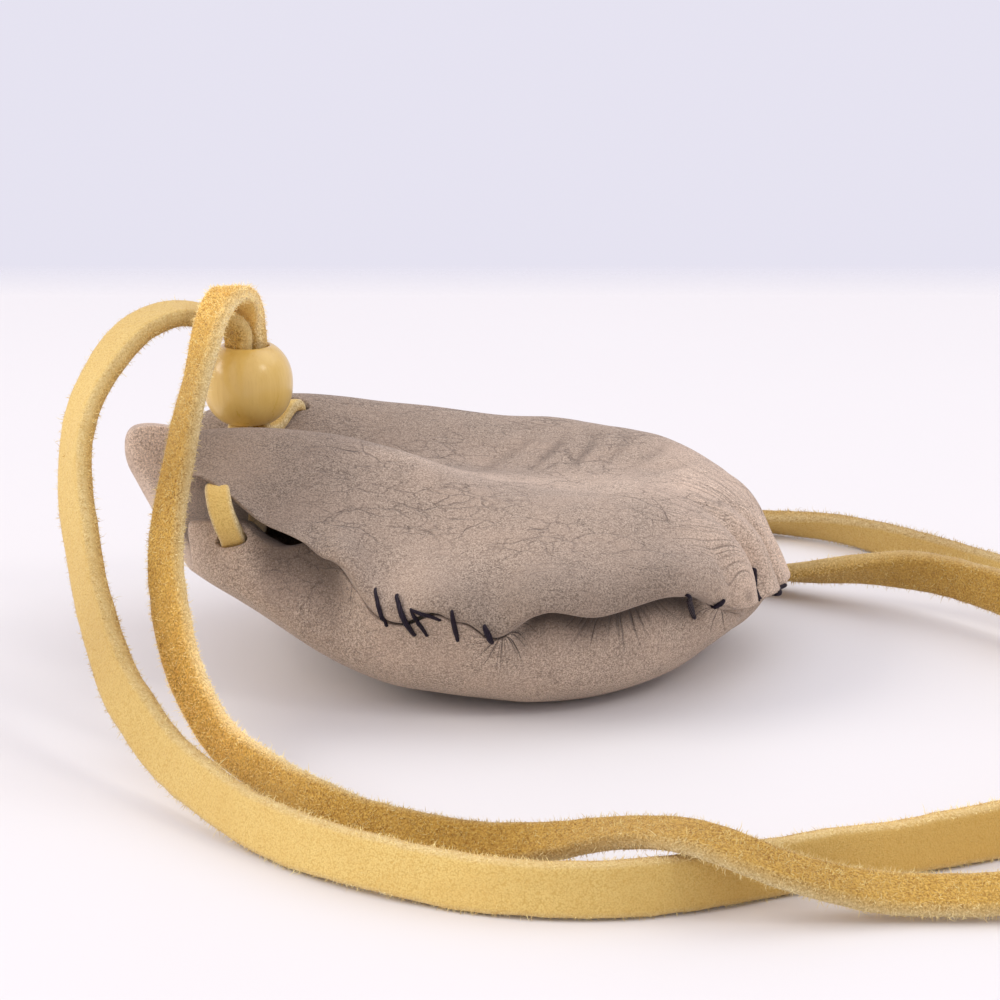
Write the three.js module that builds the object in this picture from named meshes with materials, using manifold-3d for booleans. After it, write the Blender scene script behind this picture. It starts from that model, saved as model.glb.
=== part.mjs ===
// A small leather pouch worn on a lace, lying on its belly with its mouth to the left.
// Millimetres, +Z up. The origin is on the flat patch of the belly that touches the table.
import * as THREE from 'three';
import { mergeVertices } from 'three/addons/utils/BufferGeometryUtils.js';
import Module from 'manifold-3d';

// Leather of the two panels
const LEATHER_THICKNESS = 1.6;
const GRID_ALONG = 30;
const GRID_ACROSS = 26;
const RIM_BAND_ACROSS = 0.14;
const RIM_BAND_END = 0.16;
const SLOPE_REACH = 0.01;
const TABLE_LEVEL = 0;

// Wooden slide bead
const BEAD_DIAMETER = 9.5;
const BEAD_HOLE_DIAMETER = 5.6;
const BEAD_ROUNDNESS = 2.6;
const BEAD_PROFILE_STEPS = 14;
const BEAD_SIDES = 36;
const BEAD_CENTRE = new THREE.Vector3(-26.4, 3.5, 27.6);

// Flat deerskin lace, cut by hand: wider in the outer strand, squeezed where the neck draws it in
const OUTER_WIDTH = 4.7;
const OUTER_THICKNESS = 1.8;
const INNER_WIDTH = 3.8;
const INNER_THICKNESS = 1.6;
const LACE_CORNER = 0.45;
const DRAWN_WIDTH = 2.5;
const DRAWN_THICKNESS = 1.3;
const DRAWN_CORNER = 0.3;
const DRAWN_STEPS_PER_ROW = 2;
const HOLE_CLEARANCE = 0.35;
const WELD_DISTANCE = 1e-4;

// Knot that closes the necklace behind the pouch
const KNOT_CENTRE = new THREE.Vector3(-1, 37, 3.3);
const KNOT_RADII = new THREE.Vector3(5.4, 4.6, 3.2);
const KNOT_SIDES = 20;
const TAIL_LENGTH = 15;
const TAIL_WIDTH = 4;
const TAIL_THICKNESS = 1.7;
const TAIL_SINK = 3;
const TAIL_STATIONS = [0, 0.35, 0.7, 1];
const TAIL_TOUCHDOWN = 0.7;
const TAIL_CLEARANCE = 0.1;

const nubuck = new THREE.MeshStandardMaterial({ color: 0x968a80, roughness: 0.9, metalness: 0 });
const wood = new THREE.MeshStandardMaterial({ color: 0xcda45f, roughness: 0.45, metalness: 0 });
const deerskin = new THREE.MeshStandardMaterial({ color: 0xdcb568, roughness: 0.85, metalness: 0 });

// Sections of the outer face, from the mouth to the rounded bottom end. Each row is one section, and
// its columns are the points it passes through, from the near edge across to the far edge.
const SECTION_COLUMNS = ['nearEdge', 'nearSide', 'middle', 'farSide', 'farEdge'];
const nameColumns = (row) => Object.fromEntries(SECTION_COLUMNS.map((name, column) => [name, row[column]]));

const UPPER_SECTIONS = [
  // mouth of the flap
  [[-32, -13.6, 22], [-33, -7, 24.4], [-32.8, 2, 20.8], [-32.5, 9.5, 22.6], [-32, 13.8, 21.4]],
  // neck, drawn in under the bead
  [[-28.5, -15.2, 21.9], [-28.5, -6.2, 25], [-28, 3, 20.4], [-28, 11.5, 24], [-28.5, 15.6, 21.4]],
  [[-21.5, -19.6, 17.7], [-21.5, -6.8, 24.8], [-21.5, 3.2, 20.5], [-21.5, 13.5, 24.2], [-21.5, 19.4, 18]],
  // start of the sewn edge
  [[-12.5, -25.2, 12.7], [-12.5, -8, 22.8], [-12.5, 4, 19.4], [-12.5, 17, 22.6], [-12.5, 25.2, 12.7]],
  [[-3, -28.4, 10.4], [-3, -13.5, 19.6], [-3, 4, 18.6], [-3, 18.5, 21], [-3, 28.6, 11]],
  [[7, -28, 11.4], [7, -15.5, 18.6], [7, 2, 18.8], [7, 17.5, 20.4], [7, 27.6, 10.4]],
  [[16, -23.4, 11.2], [17, -12.5, 17.6], [17.5, 1, 18.8], [17.4, 13.5, 19.4], [16, 23.4, 10.2]],
  [[21.5, -18, 9.4], [24.6, -9.5, 14.4], [26.2, 0.5, 15.8], [24.8, 10, 15.4], [21.5, 18.2, 9.6]],
  // rounded bottom end
  [[25, -13.6, 8.8], [29, -7.2, 8.4], [30.8, 0.5, 8.2], [29, 8.2, 8.6], [25, 14.4, 9]],
].map(nameColumns);

const LOWER_SECTIONS = [
  // mouth of the flap, its far corner a tongue that reaches past the upper flap
  [[-31.8, -12.8, 17], [-31.4, -12, 12], [-34.4, -3, 12], [-38.6, 8, 14.2], [-40.8, 11.8, 18]],
  [[-29, -14.2, 17.4], [-28.6, -15.6, 11.4], [-30, -2, 9.4], [-33.5, 12, 12.8], [-37.4, 13.6, 20.6]],
  // neck
  [[-25.2, -16, 17.6], [-25, -18.4, 10.4], [-25, -1, 6], [-25, 17, 11], [-25.5, 15.6, 17.6]],
  [[-18.5, -20.5, 15], [-18, -20.2, 6], [-18, 0, 2.6], [-18, 19.6, 6.4], [-18.5, 20.4, 14.9]],
  // start of the sewn edge
  [[-12.5, -25.1, 12], [-11, -21.4, 3], [-11, 0, 0.4], [-11, 21, 3.2], [-12.5, 25.1, 12]],
  [[-3, -28.4, 9.8], [-2, -21.5, 1.3], [-2, 0, -0.5], [-2, 22, 1.8], [-3, 28.6, 10.4]],
  [[7, -27.6, 10.2], [8, -21, 1.1], [8, 0, -0.6], [8, 21, 1.8], [7, 27.6, 9.8]],
  [[16, -23.2, 10], [17, -16.5, 2.6], [17, 0, 0.1], [17, 17, 2.8], [16, 23.4, 9.6]],
  [[21.5, -18, 8.8], [24, -11, 5.4], [26, 0, 4.2], [24, 11.5, 5.6], [21.5, 18.2, 9]],
  // rounded bottom end
  [[25, -13.6, 8.2], [29, -7.2, 7.8], [30.8, 0.5, 7.6], [29, 8.2, 8], [25, 14.4, 8.4]],
].map(nameColumns);

// Routes of the lace. Each row is a point of its middle line and the way its face looks there.
const OUTER_ROUTE = [
  { at: [-27.2, 2.7, 32.5], face: [0.7, 0.7, 0] },
  { at: [-27.4, 2.6, 33.4], face: [0.69, 0.69, 0.15] },
  { at: [-28.9, 2, 34.8], face: [0.4, 0.4, 0.8] },
  { at: [-31.4, 0.7, 35.5], face: [0.05, -0.1, 1] },
  { at: [-34.2, -1.4, 35.8], face: [-0.15, -0.2, 0.97] },
  { at: [-37, -4.6, 34.8], face: [-0.4, -0.4, 0.8] },
  { at: [-39.4, -8.6, 32.4], face: [-0.6, -0.6, 0.5] },
  { at: [-41.1, -12.8, 29.1], face: [-0.7, -0.65, 0.25] },
  { at: [-41.6, -17, 25.4], face: [-0.72, -0.69, 0] },
  { at: [-41, -21.5, 21.3], face: [-0.7, -0.7, 0] },
  { at: [-39.8, -26, 17.5], face: [-0.7, -0.7, 0] },
  { at: [-38.3, -31, 14], face: [-0.65, -0.75, 0] },
  { at: [-36.4, -36, 10.7], face: [-0.6, -0.8, 0] },
  { at: [-33.9, -41, 7.6], face: [-0.58, -0.8, 0.1] },
  { at: [-29.5, -47.2, 4.5], face: [-0.6, -0.75, 0.2] },
  { at: [-21.6, -57.4, 2.7], face: [-0.6, -0.75, 0.2] },
  { at: [-12.5, -65.8, 2.6], face: [-0.45, -0.85, 0.15] },
  { at: [-1.6, -71.2, 2.5], face: [-0.2, -0.97, 0.1] },
  { at: [8.1, -72.4, 2.5], face: [0.05, -1, 0.1] },
  { at: [16.3, -70.6, 2.5], face: [0.25, -0.97, 0.1] },
  { at: [23.1, -67.6, 2.5], face: [0.35, -0.93, 0.1] },
  { at: [32, -64, 2.5], face: [0.4, -0.9, 0.1] },
  { at: [42.7, -59.4, 2.5], face: [0.45, -0.9, 0.05] },
  { at: [52.5, -53.4, 2.5], face: [0.6, -0.8, 0] },
  { at: [60.5, -45, 2.5], face: [0.85, -0.5, 0] },
  { at: [64.5, -33, 2.6], face: [1, -0.1, 0] },
  { at: [64, -20.5, 3.1], face: [0.95, 0.3, 0] },
  { at: [59.8, -8, 4.1], face: [0.85, 0.5, 0] },
  { at: [53.2, 2.6, 5], face: [0.7, 0.7, 0] },
  { at: [46.7, 9.2, 5.2], face: [0.5, 0.8, 0.3] },
  { at: [39.8, 13.8, 4.2], face: [0.25, 0.6, 0.75] },
  { at: [32.5, 17.8, 2.6], face: [0.1, 0.3, 0.95] },
  { at: [25.5, 23, 1.6], face: [0, 0, 1] },
  { at: [18, 28.4, 1.4], face: [0, 0, 1] },
  { at: [10.5, 32.2, 1.7], face: [0, 0, 1] },
  { at: [4, 34.3, 2.6], face: [0, 0, 1] },
];

const INNER_ROUTE = [
  { at: [-25.7, 4.2, 32.35], face: [0.7, 0.7, 0] },
  { at: [-25.9, 4, 33.6], face: [0.65, 0.75, 0.1] },
  { at: [-26.3, 3.3, 35.5], face: [0.4, 0.8, 0.45] },
  { at: [-27.1, 1.2, 37.3], face: [0, 0.4, 0.95] },
  { at: [-28, -2.4, 37.9], face: [-0.1, -0.05, 0.98] },
  { at: [-29, -7, 36.2], face: [-0.55, -0.4, 0.7] },
  { at: [-29.7, -12, 32.6], face: [-0.75, -0.55, 0.3] },
  { at: [-30.6, -16.8, 28.6], face: [-0.72, -0.65, 0.15] },
  { at: [-31.3, -20.5, 24.4], face: [-0.68, -0.72, 0.1] },
  { at: [-31.9, -23.6, 20.2], face: [-0.6, -0.8, 0] },
  { at: [-32, -26, 16.8], face: [-0.5, -0.85, 0] },
  { at: [-31.4, -28.7, 13.2], face: [-0.4, -0.92, 0] },
  { at: [-30.3, -31.8, 9.4], face: [-0.4, -0.9, 0.05] },
  { at: [-28.3, -35.5, 6], face: [-0.45, -0.88, 0.15] },
  { at: [-25.4, -39.8, 3.4], face: [-0.55, -0.8, 0.2] },
  { at: [-21, -45.8, 2.4], face: [-0.6, -0.75, 0.25] },
  { at: [-14.6, -53.6, 2.2], face: [-0.5, -0.75, 0.4] },
  { at: [-8.3, -58.8, 2.1], face: [-0.3, -0.8, 0.5] },
  { at: [-1.6, -62.2, 2.3], face: [-0.1, -0.7, 0.7] },
  { at: [3.6, -63.8, 3.1], face: [-0.05, -0.45, 0.88] },
  { at: [7.6, -65.4, 4.3], face: [-0.1, -0.25, 0.96] },
  { at: [11.2, -67.6, 5.5], face: [-0.15, -0.1, 0.98] },
  { at: [14.8, -70.2, 6.3], face: [-0.1, -0.1, 0.99] },
  { at: [18.4, -72.2, 6], face: [0, -0.2, 0.97] },
  { at: [22, -73.2, 4.9], face: [0.1, -0.3, 0.93] },
  { at: [25.6, -73, 3.6], face: [0.15, -0.35, 0.93] },
  { at: [29.4, -72.4, 2.5], face: [0.15, -0.4, 0.9] },
  { at: [34, -72.2, 1.9], face: [0.05, -0.4, 0.9] },
  { at: [40.5, -72.2, 1.9], face: [0, -0.45, 0.88] },
  { at: [52, -71, 2.2], face: [0.2, -0.8, 0.6] },
  { at: [63, -66, 2.3], face: [0.55, -0.8, 0.25] },
  { at: [72, -55, 2.2], face: [0.85, -0.5, 0.1] },
  { at: [76, -40, 2.1], face: [1, -0.1, 0] },
  { at: [75.5, -23, 2.1], face: [0.98, 0.2, 0] },
  { at: [71, -6, 2.1], face: [0.9, 0.4, 0] },
  { at: [63.5, 9.5, 2.1], face: [0.85, 0.55, 0] },
  { at: [54.5, 22, 2.2], face: [0.75, 0.65, 0.1] },
  { at: [46.7, 31.6, 2.2], face: [0.6, 0.75, 0.2] },
  { at: [39.5, 38.2, 2.2], face: [0.4, 0.75, 0.5] },
  { at: [31, 42.2, 1.9], face: [0.2, 0.55, 0.8] },
  { at: [21, 43.4, 1.5], face: [0, 0.2, 0.98] },
  { at: [12, 42, 1.6], face: [0, 0, 1] },
  { at: [4.1, 39.6, 2.6], face: [0, 0, 1] },
];

// The drawn stretch goes down through the bead, under the near ridge, out of the near slit, in at the
// lower flap, across its cup, out at the far side and back up to the bead.
const DRAWN_ROUTE = [
  { at: [-27.2, 2.7, 31.8], face: [0.7, 0.7, 0] },
  { at: [-27.2, 2.7, 27], face: [0.7, 0.7, 0] },
  { at: [-27.2, 2.6, 24], face: [0.5, 0.85, 0] },
  { at: [-27.2, 1.9, 22], face: [0.1, 0.8, -0.6] },
  { at: [-27.2, -0.4, 21.2], face: [0, 0.25, -0.97] },
  { at: [-27.2, -3.4, 20.8], face: [0, 0.2, -1] },
  { at: [-27.6, -8, 20.1], face: [0, 0, -1] },
  { at: [-27.9, -12.8, 20.2], face: [0, 0.05, -1] },
  { at: [-28, -16.1, 20.6], face: [0, 0.4, -0.9] },
  { at: [-27.6, -17.6, 19.2], face: [0, 0.9, -0.4] },
  { at: [-27, -17.7, 17.3], face: [0, 1, 0.1] },
  { at: [-26.5, -16.4, 15.5], face: [0, 0.8, 0.6] },
  { at: [-26.2, -13.4, 13.4], face: [0, 0.6, 0.8] },
  { at: [-26, -9.6, 11.4], face: [0, 0.4, 0.9] },
  { at: [-26, -4, 10.4], face: [0, 0.1, 1] },
  { at: [-26, 3, 10.4], face: [0, -0.1, 1] },
  { at: [-26, 10, 11.4], face: [0, -0.4, 0.9] },
  { at: [-26, 14.6, 13.9], face: [0, -0.65, 0.75] },
  { at: [-26.2, 17.4, 16.2], face: [0, -0.9, 0.4] },
  { at: [-25.9, 18.2, 18.2], face: [0, -1, -0.2] },
  { at: [-25.1, 16.6, 19.6], face: [0, -0.5, -0.87] },
  { at: [-23.7, 13.8, 20], face: [0, -0.1, -1] },
  { at: [-22.5, 11.8, 21], face: [0, -0.75, -0.65] },
  { at: [-22.1, 10.9, 22.9], face: [0, -0.95, -0.2] },
  { at: [-22.7, 9.2, 23.8], face: [0, -0.3, -0.95] },
  { at: [-24.3, 6.7, 22.2], face: [0.1, 0.3, -0.95] },
  { at: [-25.4, 4.8, 22], face: [0, -0.5, -0.85] },
  { at: [-25.6, 4.4, 24], face: [-0.6, -0.8, 0] },
  { at: [-25.6, 4.3, 27], face: [-0.7, -0.7, 0] },
  { at: [-25.6, 4.3, 31.8], face: [-0.7, -0.7, 0] },
];

// Tails of the knot: the way each one leaves it, seen from above
const KNOT_TAILS = [
  { heading: [-0.9, 0.45] },
  { heading: [-0.95, -0.3] },
];

const wasm = await Module();
wasm.setup();

// A smooth curve that passes through every point of a list
function smoothCurve(points) {
  const vectors = points.map((point) => (point.isVector3 ? point : new THREE.Vector3(...point)));
  return new THREE.CatmullRomCurve3(vectors, false, 'catmullrom', 0.5);
}

// The outer face of a panel: one curve along each column of the section table, then one across them
function panelFace(sections, bellyLevel) {
  const columns = SECTION_COLUMNS.map((name) => smoothCurve(sections.map((section) => section[name])));
  return (along, across) => {
    const section = smoothCurve(columns.map((column) => column.getPoint(along)));
    const point = section.getPoint(across);
    point.z = Math.max(point.z, bellyLevel);
    return point;
  };
}

// The way into the leather from the outer face. It turns level at the sewn edges, so that the cut edges
// of the two panels face each other there.
function inwardStep(face, along, across, side) {
  const reach = SLOPE_REACH;
  const before = face(Math.max(along - reach, 0), across);
  const after = face(Math.min(along + reach, 1), across);
  const nearer = face(along, Math.max(across - reach, 0));
  const farther = face(along, Math.min(across + reach, 1));
  const normal = after.sub(before).cross(farther.sub(nearer)).normalize().multiplyScalar(side);
  const edgeDistance = Math.min(across, 1 - across) / RIM_BAND_ACROSS;
  const endDistance = (1 - along) / RIM_BAND_END;
  const rim = 1 - THREE.MathUtils.smoothstep(Math.min(edgeDistance, endDistance), 0, 1);
  const level = new THREE.Vector3(normal.x, normal.y, 0).normalize();
  return normal.lerp(level, rim).normalize().multiplyScalar(-LEATHER_THICKNESS);
}

// A panel as a closed wall: outer face, inner face and the cut edge round both
function panelGeometry(sections, side, bellyLevel) {
  const face = panelFace(sections, bellyLevel);
  const outer = [];
  const inner = [];
  for (let row = 0; row <= GRID_ALONG; row += 1) {
    for (let column = 0; column <= GRID_ACROSS; column += 1) {
      const along = row / GRID_ALONG;
      const across = column / GRID_ACROSS;
      const point = face(along, across);
      outer.push(point);
      inner.push(point.clone().add(inwardStep(face, along, across, side)));
    }
  }
  const width = GRID_ACROSS + 1;
  const innerStart = outer.length;
  const triangles = [];
  const quad = (a, b, c, d) => {
    const corners = side > 0 ? [a, b, c, a, c, d] : [a, c, b, a, d, c];
    triangles.push(...corners);
  };
  for (let row = 0; row < GRID_ALONG; row += 1) {
    for (let column = 0; column < GRID_ACROSS; column += 1) {
      const a = row * width + column;
      const b = a + width;
      quad(a, b, b + 1, a + 1);
      quad(innerStart + a, innerStart + a + 1, innerStart + b + 1, innerStart + b);
    }
  }
  for (let column = 0; column < GRID_ACROSS; column += 1) {
    const mouth = column;
    const end = GRID_ALONG * width + column;
    quad(mouth, mouth + 1, innerStart + mouth + 1, innerStart + mouth);
    quad(end + 1, end, innerStart + end, innerStart + end + 1);
  }
  for (let row = 0; row < GRID_ALONG; row += 1) {
    const near = row * width;
    const far = near + GRID_ACROSS;
    quad(near + width, near, innerStart + near, innerStart + near + width);
    quad(far, far + width, innerStart + far + width, innerStart + far);
  }
  const geometry = new THREE.BufferGeometry().setFromPoints(outer.concat(inner));
  geometry.setIndex(triangles);
  return geometry;
}

// A flat lace that follows a route, with its face turned as the route says
class LaceCurve extends THREE.CatmullRomCurve3 {
  constructor(route) {
    super(route.map((row) => new THREE.Vector3(...row.at)), false, 'catmullrom', 0.5);
    this.facing = smoothCurve(route.map((row) => row.face));
  }

  getSpacedPoints(steps) {
    return this.getPoints(steps);
  }

  computeFrenetFrames(steps) {
    const tangents = [];
    const normals = [];
    const binormals = [];
    for (let step = 0; step <= steps; step += 1) {
      const tangent = this.getTangent(step / steps);
      const normal = this.facing.getPoint(step / steps).projectOnPlane(tangent).normalize();
      tangents.push(tangent);
      normals.push(normal);
      binormals.push(new THREE.Vector3().crossVectors(tangent, normal));
    }
    return { tangents, normals, binormals };
  }
}

// The lace's section: a flat strip with its four corners cut off
function laceSection(width, thickness, corner) {
  const x = thickness / 2;
  const y = width / 2;
  return new THREE.Shape([
    new THREE.Vector2(x, y - corner),
    new THREE.Vector2(x - corner, y),
    new THREE.Vector2(corner - x, y),
    new THREE.Vector2(-x, y - corner),
    new THREE.Vector2(-x, corner - y),
    new THREE.Vector2(corner - x, -y),
    new THREE.Vector2(x - corner, -y),
    new THREE.Vector2(x, corner - y),
  ]);
}

function laceGeometry(route, stepsPerRow, section) {
  const steps = (route.length - 1) * stepsPerRow;
  const extrudePath = new LaceCurve(route);
  return new THREE.ExtrudeGeometry(section, { steps, extrudePath, bevelEnabled: false });
}

// The bead: a turned profile between a round ball and a barrel, closed by the wall of its hole
function beadGeometry() {
  const radius = BEAD_DIAMETER / 2;
  const hole = BEAD_HOLE_DIAMETER / 2;
  const heightAt = (r) => radius * (1 - (r / radius) ** BEAD_ROUNDNESS) ** (1 / BEAD_ROUNDNESS);
  const profile = [];
  const lastAngle = Math.acos(hole / radius);
  for (let step = 0; step <= BEAD_PROFILE_STEPS; step += 1) {
    const angle = lastAngle * (2 * step / BEAD_PROFILE_STEPS - 1);
    const r = radius * Math.cos(angle);
    profile.push(new THREE.Vector2(r, Math.sign(angle) * heightAt(r)));
  }
  profile.push(profile[0].clone());
  return new THREE.LatheGeometry(profile, BEAD_SIDES).rotateX(Math.PI / 2);
}

function toManifold(geometry) {
  const bare = geometry.clone();
  bare.deleteAttribute('normal');
  bare.deleteAttribute('uv');
  const merged = mergeVertices(bare, WELD_DISTANCE);
  const vertProperties = new Float32Array(merged.attributes.position.array);
  const triVerts = new Uint32Array(merged.index.array);
  return new wasm.Manifold(new wasm.Mesh({ numProp: 3, vertProperties, triVerts }));
}

function toGeometry(manifold) {
  const mesh = manifold.getMesh();
  const geometry = new THREE.BufferGeometry();
  geometry.setAttribute('position', new THREE.BufferAttribute(new Float32Array(mesh.vertProperties), 3));
  geometry.setIndex(new THREE.BufferAttribute(new Uint32Array(mesh.triVerts), 1));
  return geometry;
}

// The knot: a rounded lump with two short flat tails that lie on the table
function knotGeometry() {
  const lump = new THREE.SphereGeometry(1, KNOT_SIDES, KNOT_SIDES / 2).rotateX(Math.PI / 2);
  lump.scale(...KNOT_RADII).translate(...KNOT_CENTRE);
  const lyingHeight = TAIL_THICKNESS / 2 + TAIL_CLEARANCE;
  let knot = toManifold(lump);
  for (const { heading } of KNOT_TAILS) {
    const [headingX, headingY] = heading;
    const start = KNOT_CENTRE.clone();
    start.x += headingX * (KNOT_RADII.x - TAIL_SINK);
    start.y += headingY * (KNOT_RADII.y - TAIL_SINK);
    const tail = TAIL_STATIONS.map((share) => ({
      at: [
        start.x + headingX * TAIL_LENGTH * share,
        start.y + headingY * TAIL_LENGTH * share,
        THREE.MathUtils.lerp(KNOT_CENTRE.z, lyingHeight, Math.min(1, share / TAIL_TOUCHDOWN)),
      ],
      face: [0, 0, 1],
    }));
    const strip = laceGeometry(tail, 1, laceSection(TAIL_WIDTH, TAIL_THICKNESS, LACE_CORNER));
    knot = knot.add(toManifold(strip));
  }
  return toGeometry(knot);
}

function addMesh(group, name, geometry, material) {
  const mesh = new THREE.Mesh(geometry, material);
  mesh.name = name;
  group.add(mesh);
  return mesh;
}

const pouch = new THREE.Group();

const laceHoles = toManifold(laceGeometry(DRAWN_ROUTE, DRAWN_STEPS_PER_ROW, laceSection(
  DRAWN_WIDTH + 2 * HOLE_CLEARANCE,
  DRAWN_THICKNESS + 2 * HOLE_CLEARANCE,
  DRAWN_CORNER,
)));
const upperWall = toManifold(panelGeometry(UPPER_SECTIONS, 1, TABLE_LEVEL));
const lowerWall = toManifold(panelGeometry(LOWER_SECTIONS, -1, TABLE_LEVEL));
addMesh(pouch, 'pouch_upper', toGeometry(upperWall.subtract(laceHoles)), nubuck);
addMesh(pouch, 'pouch_lower', toGeometry(lowerWall.subtract(laceHoles)), nubuck);

const bead = addMesh(pouch, 'bead', beadGeometry(), wood);
bead.position.copy(BEAD_CENTRE);

const drawnSection = laceSection(DRAWN_WIDTH, DRAWN_THICKNESS, DRAWN_CORNER);
const outerSection = laceSection(OUTER_WIDTH, OUTER_THICKNESS, LACE_CORNER);
const innerSection = laceSection(INNER_WIDTH, INNER_THICKNESS, LACE_CORNER);
addMesh(pouch, 'draw_lace', laceGeometry(DRAWN_ROUTE, DRAWN_STEPS_PER_ROW, drawnSection), deerskin);
addMesh(pouch, 'neck_lace_outer', laceGeometry(OUTER_ROUTE, 1, outerSection), deerskin);
addMesh(pouch, 'neck_lace_inner', laceGeometry(INNER_ROUTE, 1, innerSection), deerskin);
addMesh(pouch, 'lace_knot', knotGeometry(), deerskin);

export default pouch;
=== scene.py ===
import math

import bpy
import numpy as np
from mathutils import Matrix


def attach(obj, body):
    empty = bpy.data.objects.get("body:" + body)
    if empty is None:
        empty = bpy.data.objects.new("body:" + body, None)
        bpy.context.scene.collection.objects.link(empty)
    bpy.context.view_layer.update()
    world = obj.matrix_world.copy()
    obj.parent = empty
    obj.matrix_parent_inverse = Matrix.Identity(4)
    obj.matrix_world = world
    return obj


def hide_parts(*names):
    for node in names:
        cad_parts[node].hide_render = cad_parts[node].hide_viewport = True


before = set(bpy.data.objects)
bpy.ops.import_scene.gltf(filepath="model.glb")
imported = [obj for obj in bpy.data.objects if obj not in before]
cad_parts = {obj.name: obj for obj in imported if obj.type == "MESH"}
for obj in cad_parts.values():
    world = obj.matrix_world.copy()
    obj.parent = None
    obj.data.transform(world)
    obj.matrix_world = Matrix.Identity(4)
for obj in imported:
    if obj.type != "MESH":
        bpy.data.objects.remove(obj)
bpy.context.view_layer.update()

# A small leather pouch worn on a lace. All sizes here are millimetres, in the frame's own axes.
MM = 0.001
ROOT = "root"

# Camera and studio
CAMERA_PLACE = (0.0, -288.0, 93.0)
CAMERA_TILT_DEG = 75.0
FOCAL_PIXELS = 2850.0
PHOTO_PIXELS = 1000.0
SENSOR_WIDTH = 36.0
TABLE_HALF = 1500.0
FADE_START = 195.0
FADE_END = 225.0
CLIP_START = 10.0
ROOM_COLOUR = (0.79, 0.77, 0.88, 1)

# Lights: name, place, the point it faces, size, watts, colour
LIGHTS = (
    ("window", (330, 120, 500), (0, 0, 0), 480, 0.82, (1.0, 0.97, 0.92)),
    ("fill", (-120, -760, 330), (0, -10, 10), 700, 0.2, (1.0, 0.92, 0.82)),
    ("side", (-780, -120, 520), (-20, -20, 10), 500, 4.4, (1.0, 0.95, 0.9)),
    ("spark", (290, -210, 330), (-26, 3, 28), 90, 0.24, (1.0, 0.97, 0.93)),
)

# Soft unevenness: number of sine waves, the spread of their lengths, and the gain on their mean
RIPPLE_WAVES = 10
RIPPLE_LENGTHS = (0.7, 1.5)
RIPPLE_GAIN = 1.8

# Seeds
UPPER_SEED = 3
LOWER_SEED = 13
CREASE_SEED = 5
CRACK_SEED = 31
UPPER_TONE_SEED = 33
LOWER_TONE_SEED = 35
OUTER_SEED = 21
INNER_SEED = 41
DRAWN_SEED = 61
OUTER_FUZZ_SEED = 71
INNER_FUZZ_SEED = 72
KNOT_SEED = 81
TAIL_SEED = 90

# Leather of the two panels
LEATHER_THICKNESS = 1.6
EDGE_ROUND = 0.8
RIM_BAND_ACROSS = 0.14
RIM_BAND_END = 0.16
PANEL_STEPS_ALONG = 210
PANEL_STEPS_ACROSS = 180
EDGE_STEPS = (0.0, 0.0007, 0.0022, 0.0046, 0.008)

# Sections of the outer face from the mouth to the rounded end. Each row runs from the near edge over the near
# side, the middle and the far side to the far edge
UPPER_SECTIONS = np.array([
    [[-32, -13.6, 22], [-33, -7, 24.4], [-32.8, 2, 20.8], [-32.5, 9.5, 22.6], [-32, 13.8, 21.4]],
    [[-28.5, -15.2, 21.9], [-28.5, -6.2, 25], [-28, 3, 20.4], [-28, 11.5, 24], [-28.5, 15.6, 21.4]],
    [[-21.5, -19.6, 17.7], [-21.5, -6.8, 24.8], [-21.5, 3.2, 20.5], [-21.5, 13.5, 24.2], [-21.5, 19.4, 18]],
    [[-12.5, -25.2, 12.7], [-12.5, -8, 23.2], [-12.5, 4, 19.4], [-12.5, 17, 22.6], [-12.5, 25.2, 12.7]],
    [[-3, -28.4, 10.4], [-3, -12.6, 20.2], [-3, 4, 18.6], [-3, 18.5, 21], [-3, 28.6, 11]],
    [[7, -28, 11.4], [7, -15.5, 18.6], [7, 2, 18.8], [7, 17.5, 20.4], [7, 27.6, 10.4]],
    [[16, -23.4, 11.2], [17, -12.5, 17.6], [17.5, 1, 18.8], [17.4, 13.5, 19.4], [16, 23.4, 10.2]],
    [[21.5, -18, 9.4], [24.6, -9.5, 14.4], [26.2, 0.5, 15.8], [24.8, 10, 15.4], [21.5, 18.2, 9.6]],
    [[25, -13.6, 8.8], [29, -7.2, 8.4], [30.8, 0.5, 8.2], [29, 8.2, 8.6], [25, 14.4, 9]],
])
LOWER_SECTIONS = np.array([
    [[-31.8, -12.8, 17], [-31.4, -12, 12], [-34.4, -3, 12], [-38.6, 8, 14.2], [-42.2, 12.2, 19.4]],
    [[-29, -14.2, 17.4], [-28.6, -15.6, 11.4], [-30, -2, 9.4], [-33.5, 12, 12.8], [-37.8, 13.6, 20.9]],
    [[-25.2, -16, 17.6], [-25, -18.4, 10.4], [-25, -1, 6], [-25, 17, 11], [-25.5, 15.6, 17.6]],
    [[-18.5, -20.5, 15], [-18, -20.2, 6], [-18, 0, 2.6], [-18, 19.6, 6.4], [-18.5, 20.4, 14.9]],
    [[-12.5, -25.1, 12], [-11, -21.4, 3], [-11, 0, 0.4], [-11, 21, 3.2], [-12.5, 25.1, 12]],
    [[-3, -28.4, 9.8], [-2, -21.5, 1.3], [-2, 0, -0.5], [-2, 22, 1.8], [-3, 28.6, 10.4]],
    [[7, -27.6, 10.2], [8, -21, 1.1], [8, 0, -0.6], [8, 21, 1.8], [7, 27.6, 9.8]],
    [[16, -23.2, 10], [17, -16.5, 2.6], [17, 0, 0.1], [17, 17, 2.8], [16, 23.4, 9.6]],
    [[21.5, -18, 8.8], [24, -11, 5.4], [26, 0, 4.2], [24, 11.5, 5.6], [21.5, 18.2, 9]],
    [[25, -13.6, 8.2], [29, -7.2, 7.8], [30.8, 0.5, 7.6], [29, 8.2, 8], [25, 14.4, 8.4]],
])

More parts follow.
